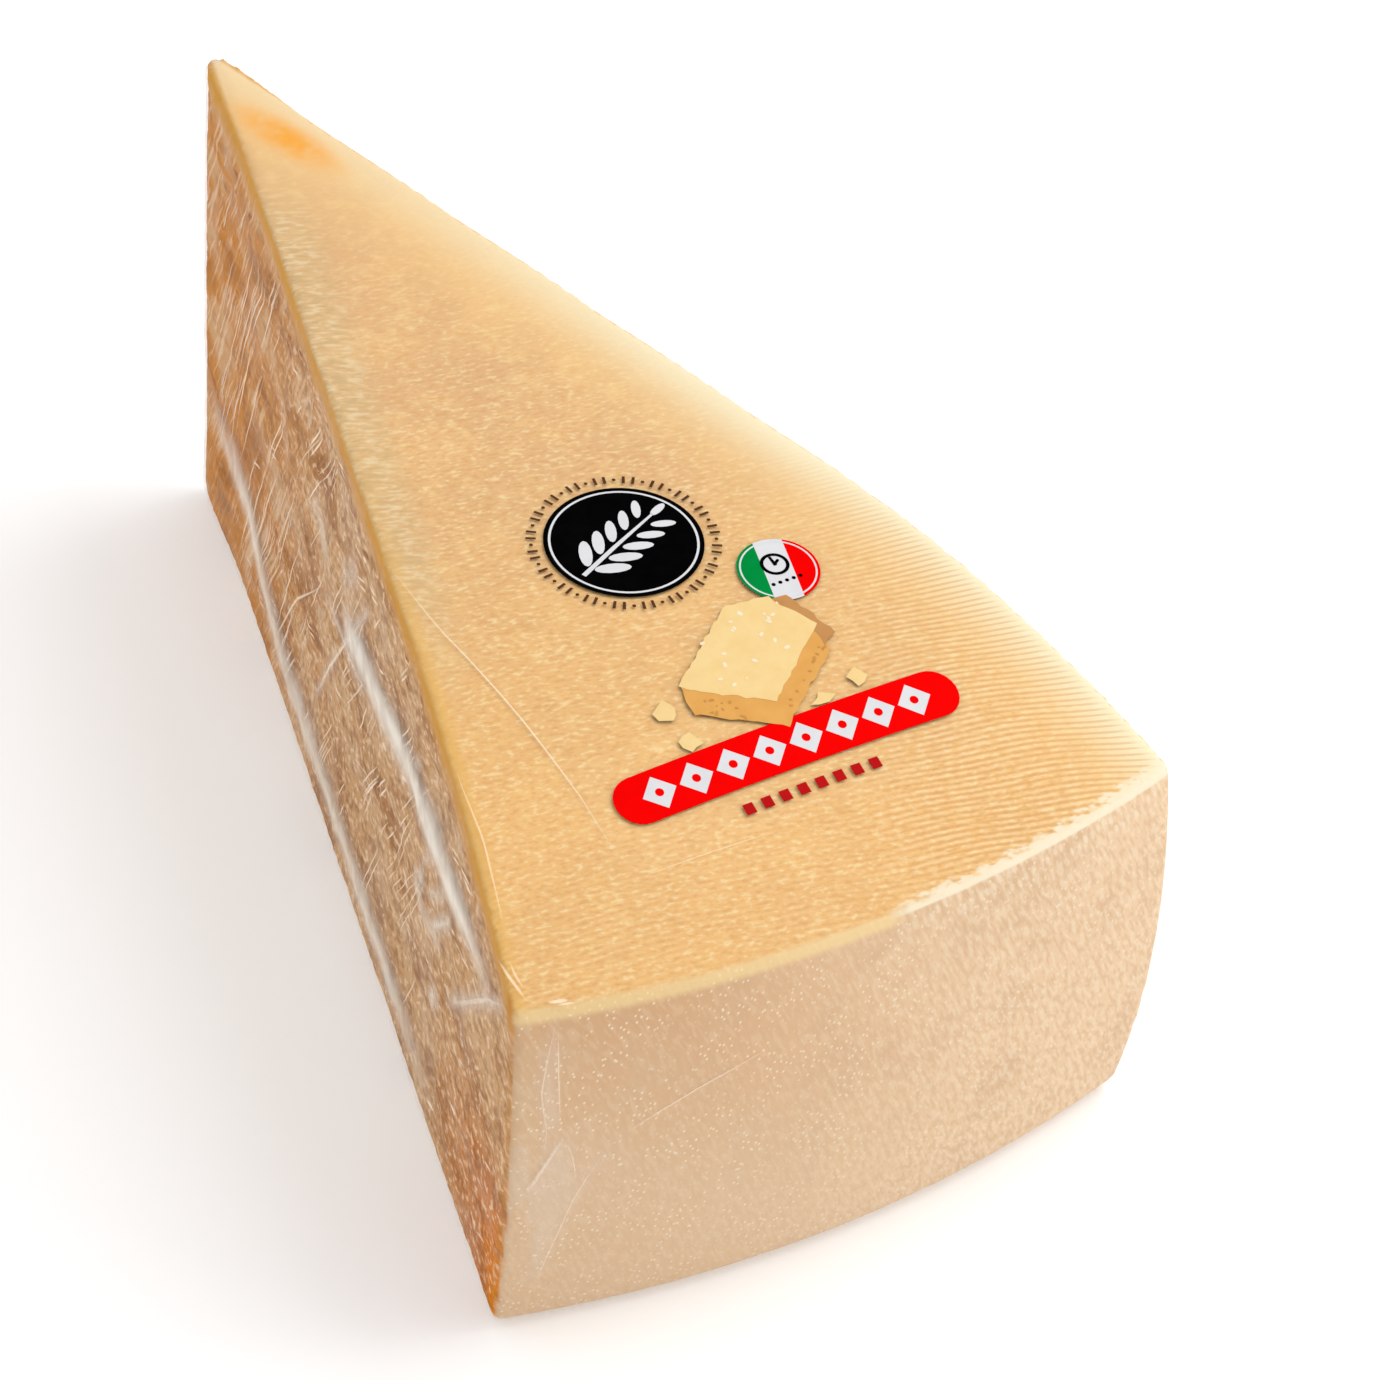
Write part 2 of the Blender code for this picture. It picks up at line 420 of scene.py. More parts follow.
def crag_depth(at):
    """How far each point of the cut faces lies under the flat cut."""
    depth = CRAG_DEPTH * broken_paste(at, 0.0006, CRAG_SIZE, 1.0, 7.0, 0.8)
    for along, height, reach, deep in flake_scoops():
        far = np.hypot((at["along"] - along) / FLAKE_STRETCH, at["height"] - height) / reach
        depth += deep * np.clip(1 - far**2, 0, None) ** 2
    return depth * np.clip(inside_edges(at) / CRAG_FADE, 0, 1)


def grain_depth(at):
    """The finer grain of the broken paste."""
    depth = GRAIN_DEPTH * broken_paste(at, 0.0009, GRAIN_SIZE, GRAIN_STRETCH, 3.0, 0.7)
    return depth * np.clip(inside_edges(at) / GRAIN_FADE, 0, 1)


TIP_FULLNESS = 0.0009
TIP_BLUNT = 0.006
TIP_FLAT = 0.032


def tip_fullness(at):
    """How far the blunt tip stands out from the flat cuts."""
    return TIP_FULLNESS * (1 - smooth_step(at["along"], TIP_BLUNT, TIP_FLAT))


# %% [markdown]
# The skin of the wheel carries the print of the belt and cloth that it was pressed in:
# fine parallel grooves across the rim side of the top, a millimetre apart, that fade towards
# the middle. Every second groove is deeper, and that one is real relief, so the mesh is
# divided more finely there. The colour follows them all: painted shade in each groove, and a
# painted highlight in patches on the lands between them.

# %% Grooves of the skin
GROOVE_PITCH = 0.00098
RELIEF_PITCH = 2 * GROOVE_PITCH
GROOVE_DEPTH = 0.00011
GROOVE_LEAN = -9
GROOVE_TURN = math.radians(GROOVE_LEAN)
RIM_GROOVES = 0.28
SWAY = (0.00045, 0.011)
SWAY_FINE = (0.00022, 0.0043)
SWAY_ACROSS = 0.006
GROOVES_SLANT = 0.30
GROOVES_PIVOT = 0.07
GROOVES_RIGHT = (0.006, 0.036)
GROOVES_RIM = (0.066, 0.092)
GROOVES_AWAY = (0.005, 0.055)
GROOVES_EDGE = (0.0008, 0.0045)
DIVIDED_SHARE = 0.15
DIVIDED_SLOPE = 0.85


def groove_wave(x, y):
    """The deeper grooves' wave, from -1 in a groove to 1 on a land, at points of the top."""
    run = x * math.cos(GROOVE_TURN) + y * math.sin(GROOVE_TURN)
    across = -x * math.sin(GROOVE_TURN) + y * math.cos(GROOVE_TURN)
    across = across + SWAY[0] * np.sin(run / SWAY[1])
    across = across + SWAY_FINE[0] * np.sin(run / SWAY_FINE[1] + across / SWAY_ACROSS)
    return np.sin(across / RELIEF_PITCH * 2 * math.pi)


def groove_share(x, y):
    """Where the grooves show: the rim's right half, up the right side, and faintly elsewhere."""
    right = smooth_step(x - GROOVES_SLANT * (y + GROOVES_PIVOT), *GROOVES_RIGHT)
    rim = smooth_step(-y, *GROOVES_RIM)
    away = smooth_step(-y, *GROOVES_AWAY)
    right_in = (AXIS_Y - y) * HALF_SIN - x * HALF_COS
    inside = smooth_step(right_in, *GROOVES_EDGE)
    return np.clip(right * away + RIM_GROOVES * rim, 0, 1) * inside


# %% The cheese
CHEESE_CELL = 0.00104
SKIN_INSET = 0.00012
CUT_INSET = 0.00042
UNDULATION = 0.00015
UNDULATION_SIZE = 0.018

cheese = blank("cheese_wedge", CHEESE_CELL)


def grooved(face):
    middle = face.calc_center_median()
    share = groove_share(middle.x, middle.y)
    return face.normal.z > DIVIDED_SLOPE and share > DIVIDED_SHARE


open_edit(cheese)
finer = pick(cheese, grooved)
bpy.ops.mesh.subdivide(number_cuts=1)
close_edit()
print("cells divided for the grooves:", finer)

places = points_of(cheese)
normals = normals_of(cheese)
at = unrolled(places)
cut_share, rind_share = zone_shares(at)
lift = -SKIN_INSET - (CUT_INSET - SKIN_INSET + crag_depth(at) + grain_depth(at)) * cut_share
lift += tip_fullness(at) * cut_share
skin = 1 - cut_share
wave = groove_wave(places[:, 0], places[:, 1]) * groove_share(places[:, 0], places[:, 1])
lift += skin * (1 - rind_share) * GROOVE_DEPTH * (wave - 1) / 2
undulation = np.array([
    noise.noise(Vector(place) / UNDULATION_SIZE) if share > 0.5 else 0.0
    for place, share in zip(places, skin)
])
lift -= skin * UNDULATION * (undulation + 1) / 2
set_points(cheese, places + normals * lift[:, None])
write_attribute(cheese, "cut", cut_share)
write_attribute(cheese, "rind", rind_share)
print("cheese:", smooth_and_count(cheese), "triangles, deepest relief",
      round(float(-lift.min()), 5))

# %% [markdown]
# The film is a second, thinner skin over the cheese. It spans the small crags, and where
# the vacuum has gathered it, it stands up in long soft ridges and short cross wrinkles. Each
# wrinkle is drawn as a line on the unrolled wedge, and raises the film's points near it. The
# same lines give a white haze, because creased film scatters light. On the two long ridges of
# the left cut, that white is also a painted reflection, the bright streak of a long light.

# %% Wrinkle lines of the film, in millimetres on the unrolled wedge
# Each is (points, width, height of the ridge, haze). On a cut face the first number is the
# distance from the wheel's axis, and on the rind it is the arc from the middle.
LEFT_WRINKLES = [
    # The first two are the long streaks of the left cut: real ridges, whose white haze is also a
    # painted reflection
    ([(104, 54), (111, 57.5), (120, 59.7), (141, 61.4), (160, 63.2), (180, 64.2), (206, 64.7)],
     3.8, 0.45, 0.88),
    ([(8, 26), (24, 25.2), (36, 23.4), (54, 16.0), (71, 12.0), (91, 12.8), (108, 12.0), (127, 11.8),
      (148, 11.4), (172, 10)], 3.8, 0.4, 0.66),
    ([(154, 45.3), (160.9, 44.5), (171.5, 44.9)], 1.7, 0.3, 0.42),
    ([(159.2, 53), (167, 61.2)], 1.3, 0.25, 0.34),
    ([(163.4, 49.8), (176.8, 62)], 1.3, 0.3, 0.42),
    ([(164, 43.8), (179, 58.6)], 1.3, 0.3, 0.52),
    ([(174, 37.5), (187.1, 49.3), (200.5, 62.4), (210.5, 70.1)], 1.3, 0.35, 0.45),
    ([(164, 28.4), (171, 36)], 1.7, 0.25, 0.5),
    ([(154, 44.8), (162, 52.6)], 2.0, 0.25, 0.4),
    ([(149, 63), (157, 71.5)], 1.0, 0.3, 0.5),
    ([(114, 52.4), (125, 63.4)], 0.9, 0.25, 0.34),
    ([(105, 51.3), (123.4, 73.6)], 1.0, 0.3, 0.5),
    ([(83, 20.6), (104.7, 49.6)], 0.9, 0.2, 0.34),
    ([(83, 64.3), (95, 59.3)], 3.2, 0.2, 0.34),
    ([(91.5, 52.5), (105.9, 52.7), (114.4, 52.8), (124, 56.8)], 1.8, 0.2, 0.32),
    ([(104, 63.5), (114, 74)], 2.8, 0.2, 0.3),
]
RIND_WRINKLES = [
    ([(-51.9, 69.6), (-53.5, 61.1), (-54.3, 54.8), (-53.3, 47.3), (-53.6, 41.1)], 0.8, 0.3, 0.16),
    ([(-50.4, 45.7), (-53.2, 39.7), (-56.4, 33)], 0.8, 0.35, 0.3),
    ([(-43.2, 42.4), (-45.9, 36.8), (-48.2, 31.7), (-49.8, 25.8), (-51.6, 18.5), (-53.2, 9.7)],
     0.9, 0.3, 0.14),
    ([(-50.2, 44.8), (-49, 40.4), (-48.1, 34.6)], 0.8, 0.25, 0.1),
    ([(-54.4, 31.5), (-53.8, 24.4), (-53.5, 10.2)], 0.9, 0.25, 0.14),
    ([(-43.2, 42.4), (-35.8, 46.4), (-29.2, 49.5), (-22.5, 52.3)], 0.6, 0.15, 0.06),
]
# A pleat is a leaf of doubled film between two lines: (outline, haze).
RIND_LEAVES = [
    ([(-51.9, 69), (-53.5, 61), (-54.3, 54.8), (-53.3, 47.3), (-50.6, 45.4), (-51.2, 47.2),
      (-51.7, 57.9)], 0.2),
    ([(-50.3, 45.2), (-56.4, 33), (-54.4, 24.4), (-53.5, 9), (-51.6, 18.5), (-49.8, 25.8), (-48.1, 33),
      (-49, 40.4)], 0.2),
    ([(-58.6, 45), (-55.6, 45.5), (-54.8, 33), (-58.4, 30.5)], 0.16),
]
RIGHT_WRINKLES = [
    ([(40, 22), (80, 15), (130, 17), (190, 12)], 1.2, 0.5, 0.6),
    ([(95, 70), (140, 62), (200, 58)], 1.3, 0.5, 0.6),
    ([(150, 20), (165, 38), (185, 55)], 0.9, 0.35, 0.4),
    ([(60, 35), (75, 58), (84, 74)], 0.9, 0.3, 0.35),
]


WRINKLE_END = 0.15
LEAF_EDGE = (-0.4, 0.8)


def distance_to_line(first, second, line):
    """Distance from each point to a broken line, and how far along it the nearest place is."""
    best = np.full(len(first), 1e9)
    share = np.zeros(len(first))
    stations = np.linspace(0, 1, len(line))
    for i in range(len(line) - 1):
        (ax, ay), (bx, by) = line[i], line[i + 1]
        run = (bx - ax) ** 2 + (by - ay) ** 2
        t = np.clip(((first - ax) * (bx - ax) + (second - ay) * (by - ay)) / run, 0, 1)
        far = np.hypot(first - ax - t * (bx - ax), second - ay - t * (by - ay))
        nearer = far < best
        best = np.where(nearer, far, best)
        along = stations[i] + t * (stations[i + 1] - stations[i])
        share = np.where(nearer, along, share)
    return best, share


def raised_by(wrinkles, first, second):
    """Height and haze that a list of wrinkles gives at points, in metres and as a share."""
    height = np.zeros(len(first))
    haze = np.zeros(len(first))
    for line, width, rise, white in wrinkles:
        far, share = distance_to_line(first * 1000, second * 1000, line)
        bell = np.exp(-((far / width) ** 2))
        ends = np.clip(np.minimum(share, 1 - share) / WRINKLE_END, 0, 1)
        height = np.maximum(height, bell * ends * rise / 1000)
        haze = np.maximum(haze, bell * ends * white)
    return height, haze


def leaf_haze(leaves, first, second):
    """Haze inside closed outlines in millimetres, soft for a millimetre at their edges."""
    haze = np.zeros(len(first))
    first = first * 1000
    second = second * 1000
    for outline, white in leaves:
        closed = outline + outline[:1]
        inside = np.zeros(len(first), bool)
        for (ax, ay), (bx, by) in zip(closed, closed[1:]):
            if ay != by:
                crosses = (ay > second) != (by > second)
                inside ^= crosses & (first < ax + (second - ay) * (bx - ax) / (by - ay))
        far, _ = distance_to_line(first, second, closed)
        haze = np.maximum(haze, white * np.where(inside, smooth_step(far, *LEAF_EDGE), 0))
    return haze


def patches(places, size):
    """Soft noise at points, from 0 to 1, with features of a size in metres."""
    return np.array([0.5 + 0.5 * noise.fractal(Vector(p) / size, 0.7, 2.0, 2) for p in places])


# %% The film
FILM_CELL = 0.00128
FILM_SPAN = 0.8
FILM_WAVE = 0.00006
VEIL_HAZE = 0.07
TIP_HAZE = 0.4
TIP_HAZE_START = 0.0046
TIP_HAZE_END = 0.0072

film = blank("film", FILM_CELL)
places = points_of(film)
normals = normals_of(film)
at = unrolled(places)
film_cut, film_rind = zone_shares(at)
lift = -crag_depth(at) * FILM_SPAN * film_cut
lift += tip_fullness(at) * film_cut
haze = VEIL_HAZE * smooth_step(patches(places, 0.013), 0.46, 0.72) * film_cut
haze = np.maximum(haze, TIP_HAZE * (1 - smooth_step(at["along"], TIP_HAZE_START, TIP_HAZE_END)))
for side, wrinkles in ((-1, LEFT_WRINKLES), (1, RIGHT_WRINKLES)):
    height, white = raised_by(wrinkles, at["along"], at["height"])
    here = (at["side"] == side) * film_cut
    lift += height * here
    haze = np.maximum(haze, white * here)
height, white = raised_by(RIND_WRINKLES, at["arc"], at["height"])
white = np.maximum(white, leaf_haze(RIND_LEAVES, at["arc"], at["height"]))
here = (1 - film_cut) * film_rind
lift += height * here
haze = np.maximum(haze, white * here)
lift -= FILM_WAVE * patches(places, 0.007)
haze *= 0.78 + 0.22 * smooth_step(patches(places, 0.0035), 0.3, 0.6)
set_points(film, places + normals * lift[:, None])
write_attribute(film, "haze", haze)
print("film:", smooth_and_count(film), "triangles, highest ridge", round(float(lift.max()), 5))

# %% [markdown]
# Sharp creases are finer than the film's cells, so they are thin slivers that lie on it. A few
# slivers on the top are painted highlights: a bright line along the left edge and a glint near
# the front corner. One sliver is modelled by hand: a narrow plane, divided along its length.
# Each copy is then drawn along its own line and pinched at both ends.

# %% Sharp creases, and painted highlights on the film
SLIVER_CELLS = 14
CREASE_LIFT = {"left": 0.00008, "right": 0.00008, "rind": 0.00012, "top": 0.0002}
CREASE_TAPER = 2.5
SCRATCH_SEED = 11

sliver = fresh("sliver", bpy.ops.mesh.primitive_plane_add, size=1.0, location=(0.5, 0, 0))
open_edit(sliver)
for i in range(1, SLIVER_CELLS):
    slice_all((i / SLIVER_CELLS, 0, 0), (1, 0, 0))
close_edit()


def on_face(face, first, second):
    """The place and outward normal of a point of the unrolled wedge."""
    if face == "rind":
        turn = first / WHEEL_RADIUS
        radius = rind_radius(second)
        out = Vector((math.sin(turn), -math.cos(turn), 0))
        return Vector((0, AXIS_Y, second)) + out * radius, out
    if face == "top":
        height = float(top_height(math.hypot(first, second - AXIS_Y)))
        return Vector((first, second, height)), Vector((0, 0, 1))
    side = -1 if face == "left" else 1
    out = cut_normal(side)
    run = Vector((side * HALF_SIN, -HALF_COS, 0))
    return Vector((0, AXIS_Y, second)) + run * first, out


def point_on_line(line, share):
    """The point at a share of a broken line's length."""
    points = [Vector(point) for point in line]
    lengths = [(b - a).length for a, b in zip(points, points[1:])]
    left = share * sum(lengths)
    for a, b, length in zip(points, points[1:], lengths):
        if left <= length:
            return a.lerp(b, left / length)
        left -= length
    return points[-1].copy()


def crease(face, line, width, white):
    """A copy of the sliver drawn along a line in millimetres, pinched and clear at its ends."""
    obj = bpy.data.objects.new("crease", sliver.data.copy())
    bpy.context.scene.collection.objects.link(obj)
    haze = []
    for vert in obj.data.vertices:
        share, edge = vert.co.x, vert.co.y * 2
        here = point_on_line(line, share)
        ahead = point_on_line(line, min(1.0, share + 0.02))
        behind = point_on_line(line, max(0.0, share - 0.02))
        across = Vector((-(ahead - behind).y, (ahead - behind).x)).normalized()
        taper = max(0.05, 1 - abs(2 * share - 1) ** CREASE_TAPER)
        haze.append(white * taper)
        spot = here + across * edge * width / 2 * taper
        place, out = on_face(face, spot.x / 1000, spot.y / 1000)
        vert.co = place + out * CREASE_LIFT[face]
    write_attribute(obj, "haze", haze)
    return obj


# Each is (face, line in millimetres, width, haze).
SHARP_CREASES_AND_GLINTS = [
    ("left", [(83, 20.6), (104.7, 49.6), (122.8, 72.9)], 0.6, 0.6),
    ("left", [(30, 5), (54.4, 49.3)], 0.4, 0.6),
    ("left", [(34.2, 5.9), (61.7, 53.2)], 0.4, 0.6),
    ("left", [(53.1, 4.3), (71.7, 32.1), (92.8, 52.8)], 0.45, 0.6),
    ("left", [(11.2, 67.9), (22.2, 89.0)], 0.35, 0.6),
    ("left", [(44, 60.3), (58.5, 88.0)], 0.4, 0.65),
    ("left", [(164.8, 44.6), (178.7, 58.2)], 0.7, 0.45),
    ("left", [(176.8, 39.7), (187.1, 49.3), (200.5, 62.4), (210.5, 70.1)], 0.7, 0.5),
    ("left", [(91.5, 52.5), (105.9, 52.7), (114.4, 52.8), (124, 56.8)], 0.5, 0.45),
    ("rind", [(-43.2, 42.4), (-45.9, 36.8), (-48.2, 31.7), (-49.8, 25.8), (-51.6, 18.5),
              (-53.2, 9.7)], 0.25, 0.3),
    ("rind", [(-43.2, 42.4), (-35.8, 46.4), (-29.2, 49.5), (-16, 54.3)], 0.24, 0.4),
    ("rind", [(-50.4, 45.7), (-53.2, 39.7), (-56.4, 33)], 0.32, 0.45),
    ("rind", [(-50.9, 45.1), (-53.9, 39), (-56.9, 32.8)], 0.22, 0.35),
    ("rind", [(-51.9, 69.4), (-53.5, 61.1), (-54.3, 54.8), (-53.3, 47.3), (-53.6, 41.1)],
     0.25, 0.35),
    ("rind", [(-51.9, 67.8), (-51.7, 57.9), (-51.2, 47.2)], 0.22, 0.4),
    ("rind", [(-50.2, 44.8), (-49, 40.4), (-48.1, 34.6)], 0.2, 0.3),
    ("top", [(-35, -15.8), (-35.2, -34), (-34.2, -43), (-33, -55.1), (-31.9, -72), (-31.9, -86.5)],
     0.26, 0.5),
    ("top", [(-31.6, -87), (-20, -87.4), (-6, -88.2)], 0.2, 0.3),
    # A painted highlight: the film's bright edge line along the left edge of the top
    ("top", [(-46, -58), (-47.2, -63), (-48.7, -72), (-50.8, -79), (-52.3, -83.9), (-53.4, -87.4)],
     0.28, 0.4),
    ("top", [(-56.1, -89.6), (-55.9, -92.4), (-55.2, -96.9)], 0.45, 0.5),
    ("top", [(-54.7, -90.6), (-54.9, -93), (-54.7, -95.2)], 0.35, 0.4),
    # A painted glint: two short white slivers near the front corner
    ("top", [(-52.6, -98.3), (-49.3, -99.3)], 0.5, 0.6),
    ("top", [(-51.6, -99.1), (-48.6, -100.0)], 0.35, 0.45),
]


# Each is (count, nearest and farthest start, leans in degrees, lengths, widths).
SCRATCH_KINDS = [
    (44, 6, 60, (60, 68), (12, 44), (0.2, 0.36)),
    (64, 55, 150, (50, 62), (6, 26), (0.2, 0.4)),
    (60, 30, 200, (4, 24), (2, 7), (0.3, 0.6)),
]
SCRATCH_HAZE = (0.35, 0.85)
SCRATCH_MARGIN = 4


def scratches(face, count, low, high, angles, lengths, widths, draw):
    """Seeded straight scratches on a cut face: places, directions and sizes in millimetres."""
    found = []
    for _ in range(count):
        first = draw.uniform(low, high)
        angle = math.radians(draw.uniform(*angles))
        length = draw.uniform(*lengths)
        reach = (length * math.cos(angle), length * math.sin(angle))
        ceiling = float(top_height(first / 1000)) * 1000 - SCRATCH_MARGIN
        second = draw.uniform(3, max(5, ceiling - reach[1]))
        if second + reach[1] > ceiling:
            reach = tuple(part * (ceiling - second) / reach[1] for part in reach)
        width = draw.uniform(*widths)
        white = draw.uniform(*SCRATCH_HAZE)
        for k in range(draw.choice((1, 1, 2))):
            start = (first + 1.3 * k, second - 0.8 * k + 1)
            end = (start[0] + reach[0], start[1] + reach[1])
            found.append((face, [start, end], width, white))
    return found


draw = random.Random(SCRATCH_SEED)
for face in ("left", "right"):
    for kind in SCRATCH_KINDS:
        SHARP_CREASES_AND_GLINTS += scratches(face, *kind, draw)
made = [crease(*each) for each in SHARP_CREASES_AND_GLINTS]
work_on(made[0])
for obj in made[1:]:
    obj.select_set(True)
bpy.ops.object.join()
creases_and_glints = bpy.context.object
creases_and_glints.name = "film_creases_and_glints"
bpy.data.objects.remove(sliver)

places = points_of(creases_and_glints)
at = unrolled(places)
on_cut = (at["under_cut"] < 0) & (at["under_top"] > 0)
sunk = crag_depth(at) * FILM_SPAN * on_cut
places[:, 0] -= at["side"] * HALF_COS * sunk
places[:, 1] -= HALF_SIN * sunk
set_points(creases_and_glints, places)
print("creases:", len(SHARP_CREASES_AND_GLINTS), "slivers, sunk by up to", round(float(sunk.max()), 5))

# %% [markdown]
# The label is a clear sheet over the shoulder of the top. It narrows with the wedge, so it is
# a plane whose two back corners are moved in, with its corners rounded. It is sliced into
# small cells and laid on the dome, and Solidify gives it the thickness of real label stock.

# %% The clear label
LABEL_LIFT = 0.00004
LABEL_THICKNESS = 0.0001
LABEL_FRONT = 0.1942
LABEL_BACK = 0.1152
LABEL_FRONT_HALF = 0.032
LABEL_WIDE_HALF = 0.035
LABEL_WIDE = 0.1432
LABEL_EDGE_MARGIN = 0.0035
LABEL_CORNER = 0.004
SHEET_CELL = 0.004


def slice_sheet(obj, cell):
    """Slices a flat sheet into cells, in both directions."""
    low = [min(corner[k] for corner in obj.bound_box) for k in (0, 1)]
    high = [max(corner[k] for corner in obj.bound_box) for k in (0, 1)]
    open_edit(obj)
    for k, normal in ((0, (1, 0, 0)), (1, (0, 1, 0))):
        count = int((high[k] - low[k]) / cell)
        for i in range(1, count + 1):
            spot = [0, 0, 0]
            spot[k] = low[k] + (high[k] - low[k]) * i / (count + 1)
            slice_all(spot, normal)
    close_edit()


def lay_on_top(obj, rise):
    """Lays a flat sheet on the dome, rise above it."""
    places = points_of(obj)
    radius = np.hypot(places[:, 0], places[:, 1] - AXIS_Y)
    places[:, 2] += top_height(radius) + rise
    set_points(obj, places)


def flat_shape(name, outline):
    """A flat sheet with a drawn outline: a circle primitive whose points take its places."""
    obj = fresh(
        name, bpy.ops.mesh.primitive_circle_add, vertices=len(outline), radius=1,
        fill_type="NGON",
    )
    for vert, (x, y) in zip(obj.data.vertices, outline):
        vert.co = (x, y, 0)
    obj.data.update()
    open_edit(obj)
    bpy.ops.mesh.select_all(action="SELECT")
    bpy.ops.mesh.normals_make_consistent(inside=False)
    close_edit()
    if obj.data.polygons[0].normal.z < 0:
        open_edit(obj)
        bpy.ops.mesh.select_all(action="SELECT")
        bpy.ops.mesh.flip_normals()
        close_edit()
    return obj


def edge_half(distance):
    return distance * math.tan(HALF_ANGLE) - LABEL_EDGE_MARGIN


half_outline = [
    (LABEL_FRONT_HALF, LABEL_FRONT),
    (LABEL_WIDE_HALF, LABEL_WIDE),
    (edge_half(LABEL_BACK), LABEL_BACK),
]
outline = [(x, AXIS_Y - y) for x, y in half_outline]
outline += [(-x, AXIS_Y - y) for x, y in reversed(half_outline)]
label = flat_shape("clear_label", outline)
open_edit(label, "VERT")
bpy.ops.mesh.select_all(action="SELECT")
bpy.ops.mesh.bevel(offset=LABEL_CORNER, segments=4, affect="VERTICES")
close_edit()
slice_sheet(label, SHEET_CELL)
lay_on_top(label, LABEL_LIFT)
apply_modifier(label, "SOLIDIFY", thickness=LABEL_THICKNESS, offset=1.0)
print("label:", len(label.data.polygons), "faces")

# %% [markdown]
# The print is ink on the label: fields of flat colour with clean edges. It could be a picture
# mapped on the sheet, but shapes stay sharp at any distance and need no image. Each colour
# field is a thin sheet of its own, a few hundredths of a millimetre over the one below it.

# %% Helpers for the print
INK_BASE = LABEL_LIFT + LABEL_THICKNESS
INK_STEP = 0.00002
INK_THICKNESS = 0.000015
INK_CELL = 0.0024


def circle(centre, radius, sides=48, squash=1.0, turn=0.0):
    """Points of an ellipse in millimetres, as metres."""
    points = []
    for i in range(sides):
        angle = 2 * math.pi * i / sides
        x = radius * math.cos(angle)
        y = radius * squash * math.sin(angle)
        points.append((
            (centre[0] + x * math.cos(turn) - y * math.sin(turn)) / 1000,
            (centre[1] + x * math.sin(turn) + y * math.cos(turn)) / 1000,
        ))
    return points


def polygon(points):
    return [(x / 1000, y / 1000) for x, y in points]


def ink(name, outlines, layer, cell=INK_CELL):
    """One colour field of the print, made of one or more outlines, laid on the label."""
    parts = []
    for outline in outlines:
        part = flat_shape(name, outline)
        slice_sheet(part, cell)
        parts.append(part)
    work_on(parts[0])
    for part in parts[1:]:
        part.select_set(True)
    if len(parts) > 1:
        bpy.ops.object.join()
    field = bpy.context.object
    field.name = name
    lay_on_top(field, INK_BASE + INK_STEP * layer)
    apply_modifier(field, "SOLIDIFY", thickness=INK_THICKNESS, offset=1.0)
    return field


def ring(name, centre, radius, width, layer, sides=64):
    """A thin ring: a circle whose edge is extruded inwards and its middle removed."""
    obj = fresh(
        name, bpy.ops.mesh.primitive_circle_add, vertices=sides, radius=radius / 1000,
        fill_type="NGON", location=(centre[0] / 1000, centre[1] / 1000, 0),
    )
    open_edit(obj)
    bpy.ops.mesh.select_all(action="SELECT")
    bpy.ops.mesh.inset(thickness=width / 1000)
    bpy.ops.mesh.delete(type="FACE")
    close_edit()
    lay_on_top(obj, INK_BASE + INK_STEP * layer)
    apply_modifier(obj, "SOLIDIFY", thickness=INK_THICKNESS, offset=1.0)
    return obj


# %% The dark disc with its sprig, and the ring of small marks
DISC = (-0.3, -30.2)
DISC_RADIUS = 12.4
SPRIG_TURN = math.radians(24)
MARK_COUNT = 60
MARK_RADIUS = 14.3
LEAF_PAIRS = 5

disc = ink("print_disc", [circle(DISC, DISC_RADIUS, 72)], 1)
disc_ring = ring("print_disc_ring", DISC, DISC_RADIUS - 0.75, 0.38, 2)


def around(centre, x, y, turn):
    """A point of a motif drawn about its centre and turned."""
    return (
        centre[0] + x * math.cos(turn) - y * math.sin(turn),
        centre[1] + x * math.sin(turn) + y * math.cos(turn),
    )


leaves = []
for i in range(LEAF_PAIRS):
    station = -7.4 + 3.3 * i
    for side in (-1, 1):
        middle = around(DISC, station + 1.4, side * 2.6 + 0.3, SPRIG_TURN)
        size = 2.9 - 0.22 * i
        leaves.append(circle(middle, size, 14, 0.36, SPRIG_TURN + side * 0.75))
tip_leaf = around(DISC, 9.3, 0.3, SPRIG_TURN)
leaves.append(circle(tip_leaf, 1.7, 14, 0.40, SPRIG_TURN))
stem = [around(DISC, x, y, SPRIG_TURN) for x, y in
        ((-10.2, -0.2), (-2, 0.0), (8, 0.1), (8, 0.5), (-2, 0.7), (-10.2, 0.6))]
leaves.append(polygon(stem))
sprig = ink("print_sprig", leaves, 3, 0.004)

marks = []
for i in range(MARK_COUNT):
    angle = 2 * math.pi * i / MARK_COUNT
    middle = around(DISC, MARK_RADIUS, 0, angle)
    if i % 3 == 2:
        marks.append(circle(middle, 0.32, 8))
    else:
        box = [around(middle, x, y, angle) for x, y in
               ((-0.8, -0.24), (0.8, -0.24), (0.8, 0.24), (-0.8, 0.24))]
        marks.append(polygon(box))
ring_marks = ink("print_ring_marks", marks, 1, 0.01)
print("disc print:", len(leaves), "leaves and stem,", len(marks), "marks")

# %% The striped roundel with a plain dial
ROUNDEL = (18.0, -45.8)
ROUNDEL_RADIUS = 6.5
STRIPE_LEAN = math.radians(-14)


def stripe_of_disc(centre, radius, low, high, lean, sides=40):
    """The part of a disc between two leaning lines, as an outline."""
    points = []
    for x, y in ((p[0] * 1000 - centre[0], p[1] * 1000 - centre[1])
                 for p in circle(centre, radius, sides)):
        across = x * math.cos(lean) + y * math.sin(lean)
        up = -x * math.sin(lean) + y * math.cos(lean)
        kept = min(max(across, low), high)
        if kept != across:
            up = math.copysign(math.sqrt(radius**2 - kept**2), up)
        point = around(centre, kept, up, lean)
        if not points or math.hypot(point[0] - points[-1][0], point[1] - points[-1][1]) > 0.02:
            points.append(point)
    while math.hypot(points[0][0] - points[-1][0], points[0][1] - points[-1][1]) < 0.02:
        points.pop()
    return polygon(points)


